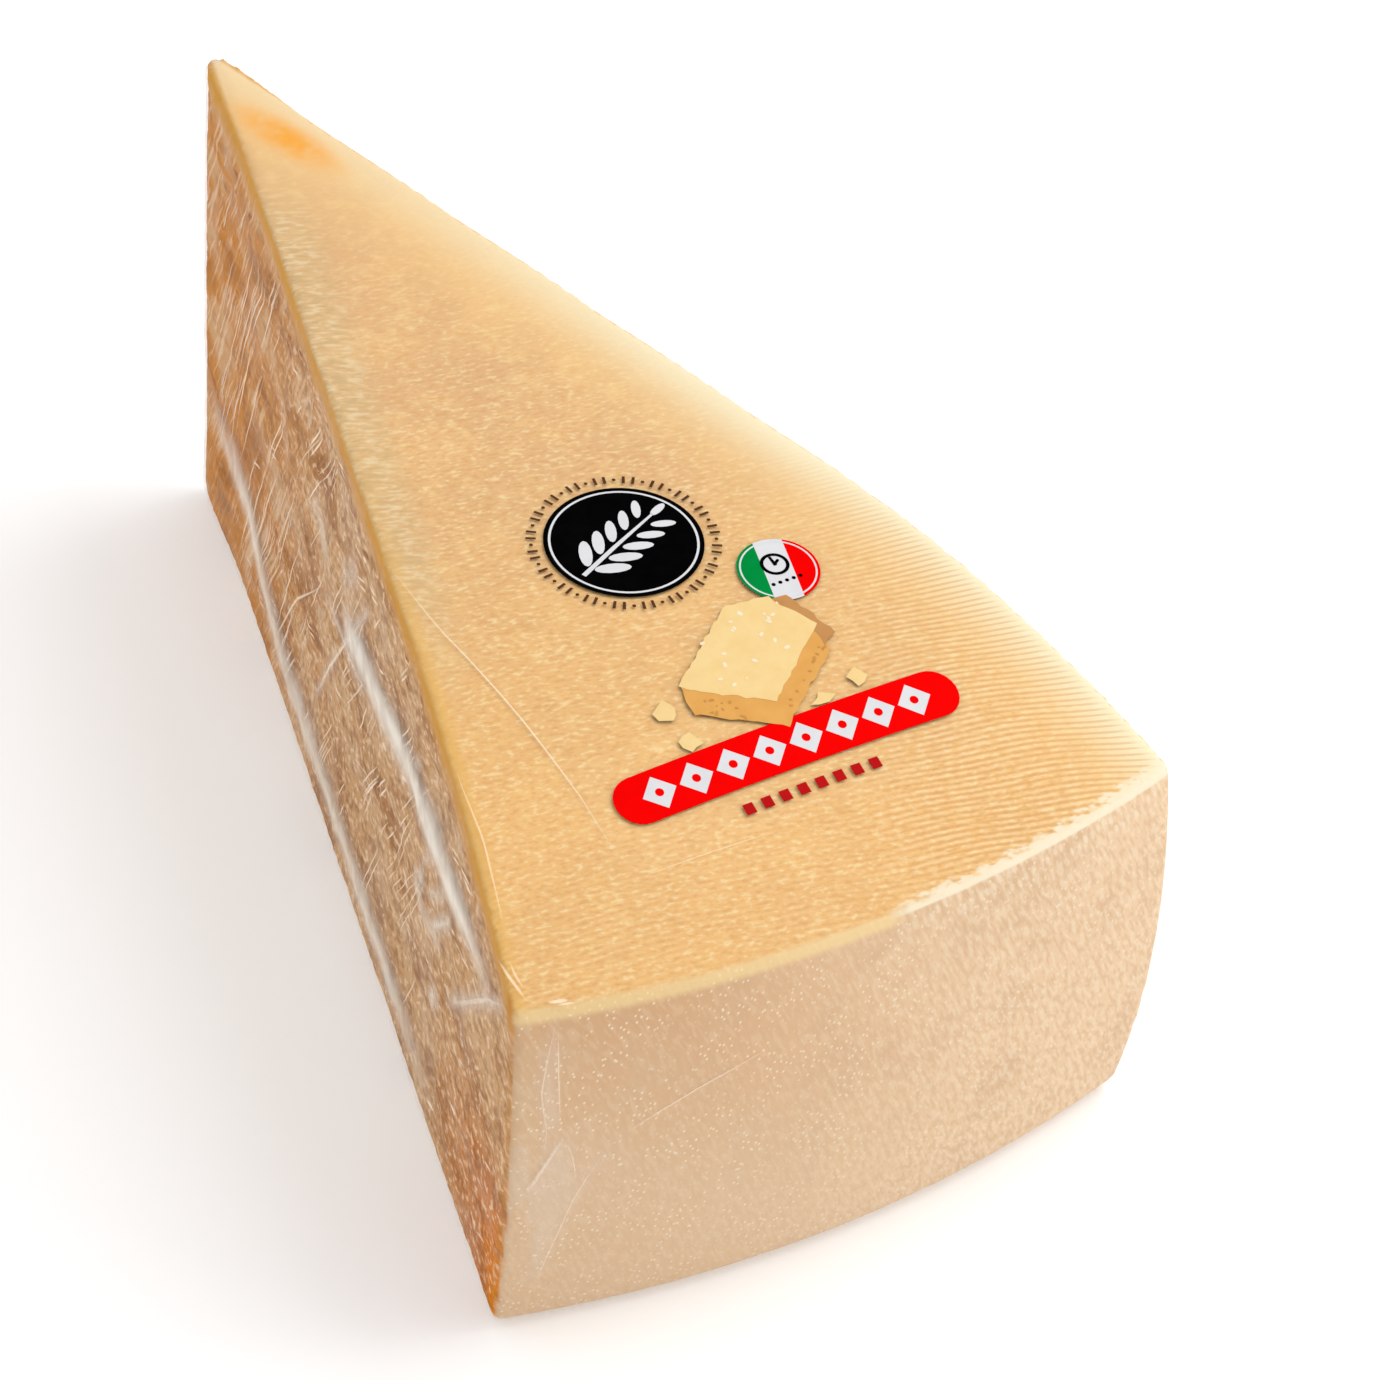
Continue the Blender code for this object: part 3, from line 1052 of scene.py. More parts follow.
third = ROUNDEL_RADIUS * 0.36
green = ink("print_green", [
    stripe_of_disc(ROUNDEL, ROUNDEL_RADIUS, -ROUNDEL_RADIUS, -third, STRIPE_LEAN)], 1)
white = ink("print_white", [
    stripe_of_disc(ROUNDEL, ROUNDEL_RADIUS, -third, third, STRIPE_LEAN)], 1)
red = ink("print_red", [
    stripe_of_disc(ROUNDEL, ROUNDEL_RADIUS, third, ROUNDEL_RADIUS, STRIPE_LEAN)], 1)
roundel_ring = ring("print_roundel_ring", ROUNDEL, ROUNDEL_RADIUS - 0.45, 0.28, 2)
dial_centre = around(ROUNDEL, 0, 1.1, 0)
dial = ring("print_dial", dial_centre, 2.3, 0.55, 3, 40)
hands = ink("print_hands", [
    polygon([around(dial_centre, x, y, 0) for x, y in
             ((-0.28, -0.3), (0.28, -0.3), (0.22, 1.7), (-0.22, 1.7))]),
    polygon([around(dial_centre, x, y, -1.0) for x, y in
             ((-0.28, -0.2), (0.28, -0.2), (0.22, 1.2), (-0.22, 1.2))]),
    *[circle(around(ROUNDEL, -2.4 + 1.2 * i, -2.6, 0), 0.34, 8) for i in range(5)],
], 3, 0.01)
print("roundel of", 2 * ROUNDEL_RADIUS, "mm")

# %% The red bar with its row of lozenges, and the small red row
BAR_LEFT = -28.1
BAR_RIGHT = 31.7
BAR_MIDDLE = -75.8
BAR_HALF = 4.1
BAR_END_STEPS = 12
LOZENGES = 8
LOZENGE_START = -20.6
LOZENGE_PITCH = 6.4
LOZENGE_REACH = 2.9
SMALL_SQUARES = 8

bar_outline = []
for centre_x, start in ((BAR_RIGHT - BAR_HALF, -math.pi / 2), (BAR_LEFT + BAR_HALF, math.pi / 2)):
    for i in range(BAR_END_STEPS + 1):
        angle = start + math.pi * i / BAR_END_STEPS
        bar_outline.append((
            centre_x + BAR_HALF * math.cos(angle), BAR_MIDDLE + BAR_HALF * math.sin(angle)))
bar = ink("print_bar", [polygon(bar_outline)], 1)
middles = [(LOZENGE_START + LOZENGE_PITCH * i, BAR_MIDDLE) for i in range(LOZENGES)]
lozenges = [polygon([
    (mx - LOZENGE_REACH, my), (mx, my - LOZENGE_REACH),
    (mx + LOZENGE_REACH, my), (mx, my + LOZENGE_REACH)]) for mx, my in middles]
lozenge_row = ink("print_lozenges", lozenges, 2, 0.004)
hearts = [circle(middle, 0.7, 12) for middle in middles]
lozenge_hearts = ink("print_lozenge_hearts", hearts, 3, 0.01)
small = []
for i in range(SMALL_SQUARES):
    left = -10.2 + 3.15 * i
    small.append(polygon([
        (left, -84.3), (left + 1.7, -84.3), (left + 1.7, -82.5), (left, -82.5)]))
small_row = ink("print_small_row", small, 1, 0.01)
print("bar of", BAR_RIGHT - BAR_LEFT, "mm with", LOZENGES, "lozenges")

# %% [markdown]
# Between disc and bar the label shows some cheese. A plain flat wedge with a few crumbs, in
# cream and amber, says the same in this print's own way. It is drawn as a cut-paper motif:
# a light top face, a darker side, a rind edge, and crumbs beside it. The faces overlap a
# little, each in its own layer, so that no gap shows between their ragged edges.

# %% The printed wedge and crumbs
RAGGED_SEED = 23
RAGGED_STEP = 1.1
RAGGED_DEPTH = 0.28


def ragged(points, draw):
    """An outline whose sides are broken into short uneven steps, as a crumbly edge is."""
    broken = []
    for (ax, ay), (bx, by) in zip(points, points[1:] + points[:1]):
        steps = max(1, int(math.hypot(bx - ax, by - ay) / RAGGED_STEP))
        for i in range(steps):
            x = ax + (bx - ax) * i / steps + draw.uniform(-RAGGED_DEPTH, RAGGED_DEPTH)
            y = ay + (by - ay) * i / steps + draw.uniform(-RAGGED_DEPTH, RAGGED_DEPTH)
            broken.append((x, y))
    return polygon(broken)


draw = random.Random(RAGGED_SEED)
top_face = [(-8.5, -60.5), (4.0, -68.5), (17.5, -58.0), (13.5, -50.5), (6.5, -49.0)]
side_face = [
    (-8.2, -59.8), (-8.8, -65.7), (3.6, -73.2), (17.2, -62.7), (17.3, -57.2), (4.0, -67.4)]
rind_face = [(16.5, -57.4), (16.4, -62.2), (19.4, -60.2), (16.2, -50.8), (12.8, -51.0)]
wedge_top = ink("print_wedge_top", [ragged(top_face, draw)], 5)
wedge_side = ink("print_wedge_side", [ragged(side_face, draw)], 3)
wedge_rind = ink("print_wedge_rind", [ragged(rind_face, draw)], 4)
pale_flecks = []
dark_flecks = []
for _ in range(30):
    u, v = draw.random(), draw.random()
    spot = (-4.5 + 19.5 * u, -61.5 + 10.5 * v - 4.2 * math.sin(math.pi * u) * (1 - v))
    if abs(spot[1] + 58.6 - 0.25 * spot[0]) < 5.2:
        pale_flecks.append(circle(spot, draw.uniform(0.25, 0.6), 6, 0.6, draw.uniform(0, 3)))
    ground = (-7.5 + 11 * u, -62.8 - 6.6 * u - 3.6 * v)
    if u > 0.55:
        ground = (4.5 + 12 * v, -70.8 + 9.0 * v + 2.6 * (u - 0.75))
    dark_flecks.append(circle(ground, draw.uniform(0.15, 0.34), 6, 0.7, draw.uniform(0, 3)))
wedge_pale = ink("print_wedge_pale", pale_flecks, 6, 0.01)
wedge_dark = ink("print_wedge_dark", dark_flecks, 6, 0.01)
crumb_outlines = [
    [(-14.5, -63), (-12.2, -61.4), (-10.6, -63.6), (-12.4, -65.8), (-14.4, -65.0)],
    [(-13.8, -69.0), (-11.2, -68.2), (-10.2, -70.6), (-12.6, -71.4)],
    [(8.9, -71.0), (11.2, -69.4), (13.2, -70.6), (11.6, -71.6), (9.8, -71.6)],
    [(16.2, -68.6), (18.4, -67.4), (19.6, -69.4), (17.4, -70.8)],
]
crumbs = ink("print_crumbs", [ragged(points, draw) for points in crumb_outlines], 4)
print("printed wedge with", len(pale_flecks) + len(dark_flecks), "flecks and",
      len(crumb_outlines), "crumbs")

# %% [markdown]
# Every material is made of nodes. A few helpers keep them readable: one adds a node with its
# settings and inputs, and others are the steps that come again and again, such as a smooth
# ramp between two values, a tint laid over a colour, or a pattern that leans one way.

# %% Helpers for materials
LIGHT_ON_TOP = 1.25


def material(name):
    """A new material with a Principled BSDF; returns it with its tree and that shader."""
    made = bpy.data.materials.new(name)
    made.use_nodes = True
    return made, made.node_tree, made.node_tree.nodes["Principled BSDF"]


def linear(value):
    """One channel picked as 0 to 255 on a screen, as the linear value that shaders take."""
    share = value / 255
    return share / 12.92 if share <= 0.04045 else ((share + 0.055) / 1.055) ** 2.4


def lit(red, green, blue):
    """A colour as it looks in the full light on the top, which is brighter than 1."""
    return tuple(linear(value) / LIGHT_ON_TOP for value in (red, green, blue)) + (1.0,)


def put(tree, socket, value):
    """Links a socket to an input, or sets the input to a plain value."""
    if isinstance(value, bpy.types.NodeSocket):
        tree.links.new(value, socket)
    else:
        socket.default_value = value


def node(tree, kind, inputs=(), **settings):
    """Adds a node. Inputs are (name or number, value or socket) pairs."""
    made = tree.nodes.new(kind)
    for key, value in settings.items():
        setattr(made, key, value)
    for key, value in inputs:
        put(tree, made.inputs[key], value)
    return made


def calc(tree, operation, *values, clamp=False):
    made = node(tree, "ShaderNodeMath", list(enumerate(values)), operation=operation)
    made.use_clamp = clamp
    return made.outputs[0]


def times(tree, *values):
    """The product of one or more values."""
    product = values[0]
    for value in values[1:]:
        product = calc(tree, "MULTIPLY", product, value)
    return product


def weighed(tree, first, first_weight, second, second_weight):
    """The sum of two values, each with its weight."""
    return calc(tree, "ADD", times(tree, first, first_weight), times(tree, second, second_weight))


def ramp(tree, value, low, high, start=0.0, end=1.0):
    """A smooth change from start to end while value goes from low to high."""
    return node(tree, "ShaderNodeMapRange", [
        ("Value", value), ("From Min", low), ("From Max", high),
        ("To Min", start), ("To Max", end)], interpolation_type="SMOOTHSTEP").outputs["Result"]


def tint(tree, below, above, *shares):
    """Lays a colour over another by the product of the shares."""
    made = node(tree, "ShaderNodeMix", data_type="RGBA", blend_type="MIX")
    for key, value in ((0, times(tree, *shares)), (6, below), (7, above)):
        put(tree, made.inputs[key], value)
    return made.outputs[2]


def attribute(tree, name):
    return node(tree, "ShaderNodeAttribute", attribute_name=name).outputs["Fac"]


def object_place(tree):
    return node(tree, "ShaderNodeTexCoord").outputs["Object"]


def flat_place(tree, across, up):
    """Coordinates on an unrolled face."""
    return node(tree, "ShaderNodeCombineXYZ", [("X", across), ("Y", up), ("Z", 0.0)]).outputs[0]


def turned(tree, place, lean, length, width):
    """Coordinates that run along a lean in degrees, counted in lengths and widths."""
    return node(tree, "ShaderNodeMapping", [
        ("Vector", place), ("Rotation", (0, 0, math.radians(lean))),
        ("Scale", (length, width, width))], vector_type="TEXTURE").outputs[0]


def clouds(tree, place, size, detail=1, rough=0.5, across="3D"):
    """Soft noise with features of a size in metres, from 0 to 1, in space or on a flat place."""
    return node(tree, "ShaderNodeTexNoise", [
        ("Vector", place), ("Scale", 1 / size), ("Detail", detail), ("Roughness", rough)],
        noise_dimensions=across).outputs["Fac"]


def strokes(tree, place, lean, stretch, size, detail=1, rough=0.5, across="3D"):
    """Soft noise drawn out along a lean in degrees, like brush strokes."""
    return clouds(tree, turned(tree, place, lean, stretch, 1.0), size, detail, rough, across)


def dashes(tree, place, lean, length, width, share, core, rim, regular=1.0):
    """Dashes of a lean, length and width; share of the cells filled, solid up to core."""
    cells = node(tree, "ShaderNodeTexVoronoi", [
        ("Vector", turned(tree, place, lean, length, width)), ("Scale", 1.0),
        ("Randomness", regular)], voronoi_dimensions="2D")
    cell_tone = node(tree, "ShaderNodeSeparateColor", [("Color", cells.outputs["Color"])])
    chosen = ramp(tree, cell_tone.outputs[0], 1 - share - 0.05, 1 - share + 0.05)
    return times(tree, chosen, ramp(tree, cells.outputs["Distance"], core, rim, 1.0, 0.0))


# %% [markdown]
# The cheese shows three surfaces, and one material paints them all, because they meet at
# soft edges. The skin of the top is golden with rows of pale flecks and grooves. The rind is
# pinker and paler. The cut paste is browner, with brown grain and many pale scratches. First
# come the places that the patterns need, by the same formulas as the mesh: the distance along
# a cut, and how far a point lies inside each edge.

# %% Places for the cheese's patterns
SIDE_SHIFT = 0.31

cheese_material, tree, shader = material("cheese_paste_and_skin")
place = object_place(tree)
x, y, z = node(tree, "ShaderNodeSeparateXYZ", [("Vector", place)]).outputs
beyond = calc(tree, "SUBTRACT", AXIS_Y, y)
radius = calc(tree, "SQRT", weighed(tree, x, x, beyond, beyond))
along = weighed(tree, beyond, HALF_COS, calc(tree, "ABSOLUTE", x), HALF_SIN)
side_shift = times(tree, calc(tree, "SIGN", x), SIDE_SHIFT)
cut_place = flat_place(tree, calc(tree, "ADD", along, side_shift), z)
rind_place = flat_place(tree, x, z)
past = calc(tree, "MAXIMUM", calc(tree, "DIVIDE", calc(
    tree, "SUBTRACT", radius, SHOULDER_RADIUS), WHEEL_RADIUS - SHOULDER_RADIUS), 0.0)
slope = calc(tree, "MULTIPLY_ADD", radius, -TOP_FALL / WHEEL_RADIUS, TIP_HEIGHT)
surface = calc(tree, "SUBTRACT", slope, times(tree, past, past, SHOULDER_DROP))
under_top = calc(tree, "SUBTRACT", surface, z)
up = calc(tree, "DIVIDE", z, RIM_HEIGHT)
down = calc(tree, "SUBTRACT", 1.0, up)
tucked = calc(tree, "MULTIPLY_ADD", down, -FOOT_TUCK, WHEEL_RADIUS)
barrel = calc(tree, "MULTIPLY_ADD", times(tree, up, down), 4 * RIND_BULGE, tucked)
under_rind = calc(tree, "SUBTRACT", barrel, radius)
left_in = weighed(tree, x, HALF_COS, beyond, HALF_SIN)
right_in = weighed(tree, beyond, HALF_SIN, x, -HALF_COS)
print("places for the patterns:", len(tree.nodes), "nodes")

# %% The skin of the top
TOP_GOLD = lit(239, 191, 134)
TOP_TAN = lit(231, 184, 132)
TOP_PALE = lit(250, 212, 150)
TOP_FLECK = lit(252, 224, 168)
TOP_SHADE = lit(218, 162, 98)
TOP_EDGE_SHADE = lit(220, 176, 110)
TOP_STRIP = lit(242, 190, 104)
TOP_PAINTED_GLOW = lit(255, 244, 208)
TOP_LOW = lit(250, 196, 116)
TOP_SMEAR = lit(255, 178, 72)
TOP_WARM_PAINTED_GLOW = lit(254, 212, 146)
EDGE_STRAW = lit(224, 192, 142)
EDGE_GREY = lit(206, 176, 124)
EDGE_LIGHT = lit(244, 224, 182)
WEAVE_LEAN, WEAVE_STRETCH, WEAVE_SIZE = -12, 2.2, 0.00062
COMB_LEAN, COMB_STRETCH, COMB_SIZE = -26, 3.0, 0.00078
SMEAR_MIDDLE = (0.0006, 0.079, 0)
SMEAR_LEAN = math.radians(-72)
SMEAR_REACH = (0.0108, 0.0034, 1.0)

mottle = clouds(tree, place, 0.016, 2)
fine_mottle = clouds(tree, place, 0.0035, 2, 0.6)
top = tint(tree, TOP_GOLD, TOP_TAN, ramp(tree, mottle, 0.38, 0.62))
top = tint(tree, top, TOP_PALE, ramp(tree, fine_mottle, 0.45, 0.75, 0.0, 0.5))
lower = ramp(tree, calc(tree, "MULTIPLY_ADD", x, 0.35, y), 0.02, -0.09)
top = tint(tree, top, TOP_LOW, lower, 0.5)
weave = strokes(tree, place, WEAVE_LEAN, WEAVE_STRETCH, WEAVE_SIZE, 1, 0.6)
lively = ramp(tree, y, 0.085, -0.01, 0.2, 1.0)
top = tint(tree, top, TOP_SHADE, lively, ramp(tree, weave, 0.48, 0.30, 0.0, 0.42))
top = tint(tree, top, TOP_FLECK, lively, ramp(tree, weave, 0.53, 0.72, 0.0, 0.72))

# The straw-coloured band along the left edge, combed by the wire
comb = strokes(tree, place, COMB_LEAN, COMB_STRETCH, COMB_SIZE)
band_length = times(tree, ramp(tree, y, 0.080, 0.055), ramp(tree, y, -0.055, -0.015))
left_band = times(tree, ramp(tree, left_in, 0.0105, 0.0045), band_length)
top = tint(tree, top, EDGE_STRAW, left_band, 0.5)
top = tint(tree, top, EDGE_GREY, left_band, ramp(tree, comb, 0.48, 0.36, 0.0, 0.5))
top = tint(tree, top, EDGE_LIGHT, left_band, ramp(tree, comb, 0.52, 0.66, 0.0, 0.55))

# The painted highlight along the right edge, the amber strip on the left, and painted shade along the
# edges
# Painted highlight: the skin turns paler and warmer towards the right edge, as if light from the back
# right made it glow
top = tint(tree, top, TOP_WARM_PAINTED_GLOW, ramp(tree, right_in, 0.026, 0.004, 0.0, 0.6))
painted_glow = calc(tree, "POWER", ramp(tree, right_in, 0.019, 0.0), 2.7)
top = tint(tree, top, TOP_PAINTED_GLOW, painted_glow, ramp(tree, y, 0.095, -0.03, 0.40, 0.95))
left_strip = ramp(tree, left_in, 0.0040, 0.0014)
top = tint(tree, top, TOP_STRIP, left_strip, ramp(tree, y, 0.02, -0.05, 0.0, 0.7))
# Painted shade: a darker line along both side edges of the top, where it rounds over
edge_line = calc(tree, "MINIMUM", left_in, right_in)
top = tint(tree, top, TOP_EDGE_SHADE, ramp(tree, edge_line, 0.0013, 0.0003, 0.0, 0.6))

# One orange smear near the tip
smear_place = node(tree, "ShaderNodeMapping", [
    ("Vector", place), ("Location", SMEAR_MIDDLE), ("Rotation", (0, 0, SMEAR_LEAN)),
    ("Scale", SMEAR_REACH)], vector_type="TEXTURE").outputs[0]
smear_flat = node(tree, "ShaderNodeVectorMath", [
    (0, smear_place), (1, (1.0, 1.0, 0.0))], operation="MULTIPLY").outputs[0]
smear_far = node(tree, "ShaderNodeVectorMath", [
    (0, smear_flat)], operation="LENGTH").outputs["Value"]
smear = ramp(tree, smear_far, 1.5, 0.2)
top = tint(tree, top, TOP_SMEAR, smear, ramp(tree, fine_mottle, 0.3, 0.6, 0.6, 1.0))
print("skin of the top:", len(tree.nodes), "nodes so far")

# %% The grooves of the skin, by the same wave as the mesh, painted with shade and highlight
GROOVE_PAINTED_SHADE = lit(214, 160, 98)
GROOVE_PAINTED_HIGHLIGHT = lit(255, 224, 176)
VALLEY_SHARE = 0.46
LAND_SHARE = 0.5

run = weighed(tree, x, math.cos(GROOVE_TURN), y, math.sin(GROOVE_TURN))
across = weighed(tree, y, math.cos(GROOVE_TURN), x, -math.sin(GROOVE_TURN))
sway = calc(tree, "SINE", calc(tree, "DIVIDE", run, SWAY[1]))
across = calc(tree, "MULTIPLY_ADD", sway, SWAY[0], across)
fine_turn = calc(tree, "ADD", calc(tree, "DIVIDE", run, SWAY_FINE[1]),
                 calc(tree, "DIVIDE", across, SWAY_ACROSS))
across = calc(tree, "MULTIPLY_ADD", calc(tree, "SINE", fine_turn), SWAY_FINE[0], across)
wave = calc(tree, "SINE", times(tree, across, 2 * math.pi / GROOVE_PITCH))
from_pivot = times(tree, calc(tree, "ADD", y, GROOVES_PIVOT), GROOVES_SLANT)
tilted = calc(tree, "SUBTRACT", x, from_pivot)
right_part = times(tree, ramp(tree, tilted, *GROOVES_RIGHT),
                   ramp(tree, y, -GROOVES_AWAY[0], -GROOVES_AWAY[1]))
rim_part = ramp(tree, y, -GROOVES_RIM[0], -GROOVES_RIM[1], 0.0, RIM_GROOVES)
grooves_here = times(tree, calc(tree, "ADD", right_part, rim_part, clamp=True),
                     ramp(tree, right_in, *GROOVES_EDGE))
highlight_patches = ramp(tree, clouds(tree, place, 0.0026, 2, 0.6), 0.36, 0.58)
# Painted shade in each groove, and a painted highlight in patches on the lands between them
painted_valley_shade = times(tree, ramp(tree, wave, 0.1, -0.8), grooves_here)
painted_land_highlight = times(tree, ramp(tree, wave, -0.1, 0.9), grooves_here, highlight_patches)
top = tint(tree, top, GROOVE_PAINTED_SHADE, painted_valley_shade, VALLEY_SHARE)
top = tint(tree, top, GROOVE_PAINTED_HIGHLIGHT, painted_land_highlight, LAND_SHARE)
print("grooves", GROOVE_PITCH * 1000, "mm apart")

# %% The rim: cream where the film bridges it on the right, yellow on the left
RIM_CREAM = lit(252, 238, 208)
RIM_YELLOW = lit(255, 224, 162)
TUFT_STRETCH, TUFT_SIZE = 2.4, 0.0008

tufts = strokes(tree, place, GROOVE_LEAN, TUFT_STRETCH, TUFT_SIZE, 1, 0.6)
bridged = ramp(tree, x, 0.0015, 0.007)
near_rim = calc(tree, "ADD", calc(tree, "MULTIPLY_ADD", x, 0.018, radius),
                calc(tree, "MULTIPLY_ADD", tufts, 0.0036, -0.0018))
at_rim = ramp(tree, near_rim, WHEEL_RADIUS - 0.0015, WHEEL_RADIUS - 0.0003, 0.0, 0.85)
top = tint(tree, top, RIM_CREAM, bridged, at_rim)
print("rim at", round(WHEEL_RADIUS * 1000, 1), "mm from the axis")

# %% The rind
RIND_PINK = lit(220, 173, 128)
RIND_LIT_RIGHT = lit(242, 208, 170)
RIND_TAN = lit(222, 184, 147)
RIND_LOW = lit(238, 210, 176)
RIND_FLECK = lit(252, 232, 200)
RIND_SHADE = lit(208, 168, 126)


def up_to_rim(low, high):
    """A share that rises between two depths under the rim."""
    return ramp(tree, z, RIM_HEIGHT - low, RIM_HEIGHT - high)


# Painted light: the rind goes from a shaded pink on the left to a paler, lit tone on the right
rind = tint(tree, RIND_PINK, RIND_LIT_RIGHT, ramp(tree, x, -0.056, 0.032))
rind_mottle = clouds(tree, place, 0.012, 2)
rind = tint(tree, rind, RIND_TAN, ramp(tree, rind_mottle, 0.42, 0.68, 0.0, 0.5))
low_right = ramp(tree, calc(tree, "MULTIPLY_ADD", x, 0.6, z), 0.055, 0.0, 0.0, 0.55)
rind = tint(tree, rind, RIND_LOW, low_right)

# Pale specks in clusters, then the brushed look that grows to the right
speckle = dashes(tree, rind_place, 60, 0.0014, 0.0010, 0.5, 0.07, 0.25)
cluster = ramp(tree, clouds(tree, rind_place, 0.009, across="2D"), 0.40, 0.58, 0.3, 1.0)
rind = tint(tree, rind, RIND_FLECK, speckle, cluster)
brushed = strokes(tree, rind_place, -66, 3.2, 0.0009, 1, 0.6, "2D")
to_right = ramp(tree, x, -0.02, 0.03, 0.25, 0.65)
rind = tint(tree, rind, RIND_FLECK, to_right, ramp(tree, brushed, 0.52, 0.68, 0.0, 0.6))
rind = tint(tree, rind, RIND_SHADE, to_right, ramp(tree, brushed, 0.47, 0.33, 0.0, 0.45))

# A row of dashes under the rim, and the rim's own line: yellow left, cream right
rim_row = dashes(tree, rind_place, -71, 0.0034, 0.0014, 0.9, 0.12, 0.40, 0.35)
row_here = times(tree, up_to_rim(0.0075, 0.0045), ramp(tree, x, 0.0, 0.012, 0.0, 0.55))
rind = tint(tree, rind, RIND_FLECK, rim_row, row_here)
not_bridged = calc(tree, "SUBTRACT", 1.0, bridged)
rind = tint(tree, rind, RIM_YELLOW, up_to_rim(0.0034, 0.0018), not_bridged, 0.7)
rind = tint(tree, rind, RIM_CREAM, up_to_rim(0.0016, 0.0011), bridged)
print("top, rim and rind:", len(tree.nodes), "nodes so far")

# %% The cut paste
PASTE = lit(221, 174, 126)
PASTE_TIP = lit(216, 142, 62)
PASTE_BROWN = lit(160, 100, 54)
PASTE_HAZE = lit(230, 190, 146)
PASTE_ORANGE = lit(220, 128, 50)
PASTE_FOOT = lit(244, 140, 4)
PASTE_FLECK = lit(250, 214, 178)
PASTE_DARK = lit(146, 88, 44)
PASTE_PIT = lit(156, 90, 36)
PASTE_UPRIGHT = lit(212, 148, 74)
STRIP_AMBER = lit(232, 170, 80)
STRIP_DEEP = lit(228, 170, 98)

paste = tint(tree, PASTE, PASTE_TIP, ramp(tree, along, 0.12, 0.01))
soft = strokes(tree, cut_place, 6, 1.8, 0.011, 2, 0.5, "2D")
paste = tint(tree, paste, PASTE_HAZE, ramp(tree, soft, 0.50, 0.68, 0.0, 0.55))
paste = tint(tree, paste, PASTE_BROWN, ramp(tree, soft, 0.46, 0.30, 0.0, 0.5))

# The foot of the left cut is a deep orange
paste = tint(
    tree, paste, PASTE_ORANGE, ramp(tree, along, 0.160, 0.205), ramp(tree, z, 0.044, 0.016),
    ramp(tree, x, 0.01, -0.01, 0.3, 0.8))
paste = tint(
    tree, paste, PASTE_FOOT, ramp(tree, along, 0.196, 0.210), ramp(tree, z, 0.030, 0.012),
    ramp(tree, x, 0.01, -0.01, 0.0, 0.95))

# Brown grain, pits under the top, and chips that are weaker near the tip
grain = strokes(tree, cut_place, 12, 2.0, 0.0034, 2, 0.65, "2D")
chipped = ramp(tree, along, 0.03, 0.09, 0.15, 1.0)
grain_dark = ramp(tree, grain, 0.48, 0.34, 0.0, 0.42)
paste = tint(tree, paste, PASTE_DARK, ramp(tree, along, 0.02, 0.08, 0.5, 1.0), grain_dark)
pits = dashes(tree, cut_place, 12, 0.009, 0.0030, 0.22, 0.02, 0.26)
paste = tint(tree, paste, PASTE_PIT, pits, ramp(tree, under_top, 0.024, 0.008, 0.18, 0.9))
chips = strokes(tree, cut_place, 9, 1.5, 0.0013, 1, 0.6, "2D")
paste = tint(tree, paste, PASTE_DARK, chipped, ramp(tree, chips, 0.46, 0.34, 0.0, 0.26))
paste = tint(
    tree, paste, PASTE_FLECK, chipped, ramp(tree, grain, 0.40, 0.58, 0.35, 1.0),
    ramp(tree, chips, 0.57, 0.65, 0.0, 0.9))

# Hair-fine marks of the wire, mostly near the tip
hair = strokes(tree, cut_place, 62, 20.0, 0.0009, 1, 0.5, "2D")
hair_here = times(tree, ramp(tree, soft, 0.40, 0.56, 0.25, 1.0),
                  ramp(tree, along, 0.14, 0.04, 0.12, 1.0))
paste = tint(tree, paste, PASTE_FLECK, ramp(tree, hair, 0.56, 0.65, 0.0, 0.6), hair_here)

# The skin seen from its edge: an amber strip under the top, and a darker one at the rind
paste = tint(tree, paste, STRIP_DEEP, ramp(tree, under_top, 0.0072, 0.0036, 0.0, 0.8))
paste = tint(tree, paste, STRIP_AMBER, ramp(tree, under_top, 0.0026, 0.0014, 0.0, 0.9))
paste = tint(
    tree, paste, PASTE_UPRIGHT, ramp(tree, under_rind, 0.0046, 0.0022),
    ramp(tree, z, 0.062, 0.072, 0.3, 0.75))

# %% The whole cheese material
CHEESE_ROUGHNESS = 0.6
SKIN_GLOSS = 0.12
FINE_RELIEF = 0.6


def matt(shade, relief, depth, gloss):
    """A Principled shader with a colour, a fine relief and a weak gloss."""
    bump = node(tree, "ShaderNodeBump", [
        ("Height", relief), ("Strength", FINE_RELIEF), ("Distance", depth)]).outputs[0]
    return node(tree, "ShaderNodeBsdfPrincipled", [
        ("Base Color", shade), ("Roughness", CHEESE_ROUGHNESS), ("Specular IOR Level", gloss),
        ("Normal", bump)]).outputs[0]


def mixed_shaders(tree, share, first, second):
    return node(tree, "ShaderNodeMixShader", [(0, share), (1, first), (2, second)]).outputs[0]


tree.nodes.remove(shader)
top_shader = matt(top, weave, 0.0001, SKIN_GLOSS)
rind_shader = matt(rind, brushed, 0.00008, SKIN_GLOSS)
paste_shader = matt(paste, chips, 0.0002, 0.0)
skin_shader = mixed_shaders(tree, attribute(tree, "rind"), top_shader, rind_shader)
whole = mixed_shaders(tree, attribute(tree, "cut"), skin_shader, paste_shader)
tree.links.new(whole, tree.nodes["Material Output"].inputs["Surface"])
cheese.data.materials.append(cheese_material)
print("cheese material:", len(tree.nodes), "nodes")

# %% [markdown]
# Clear film is seen by what it adds: a weak reflection, stronger at a slant, and a white haze
# where it is creased. So its material is mostly a see-through shader, mixed with a glossy one
# by the slant and with a pale matt one by the haze that was kept on the film's points. The
# slant comes from Layer Weight, because a Fresnel node turns the film into a mirror for the
# light that leaves the cheese through it from inside.

# %% Film, creases with painted glints, and label
SLANT_POWER = 8.0
HEAD_ON_GLOSS = 0.002
FILM_ROUGHNESS = 0.2
LABEL_ROUGHNESS = 0.12
HAZE_TONE = (0.94, 0.88, 0.78, 1)
CREASE_TONE = (1.0, 0.86, 0.68, 1)


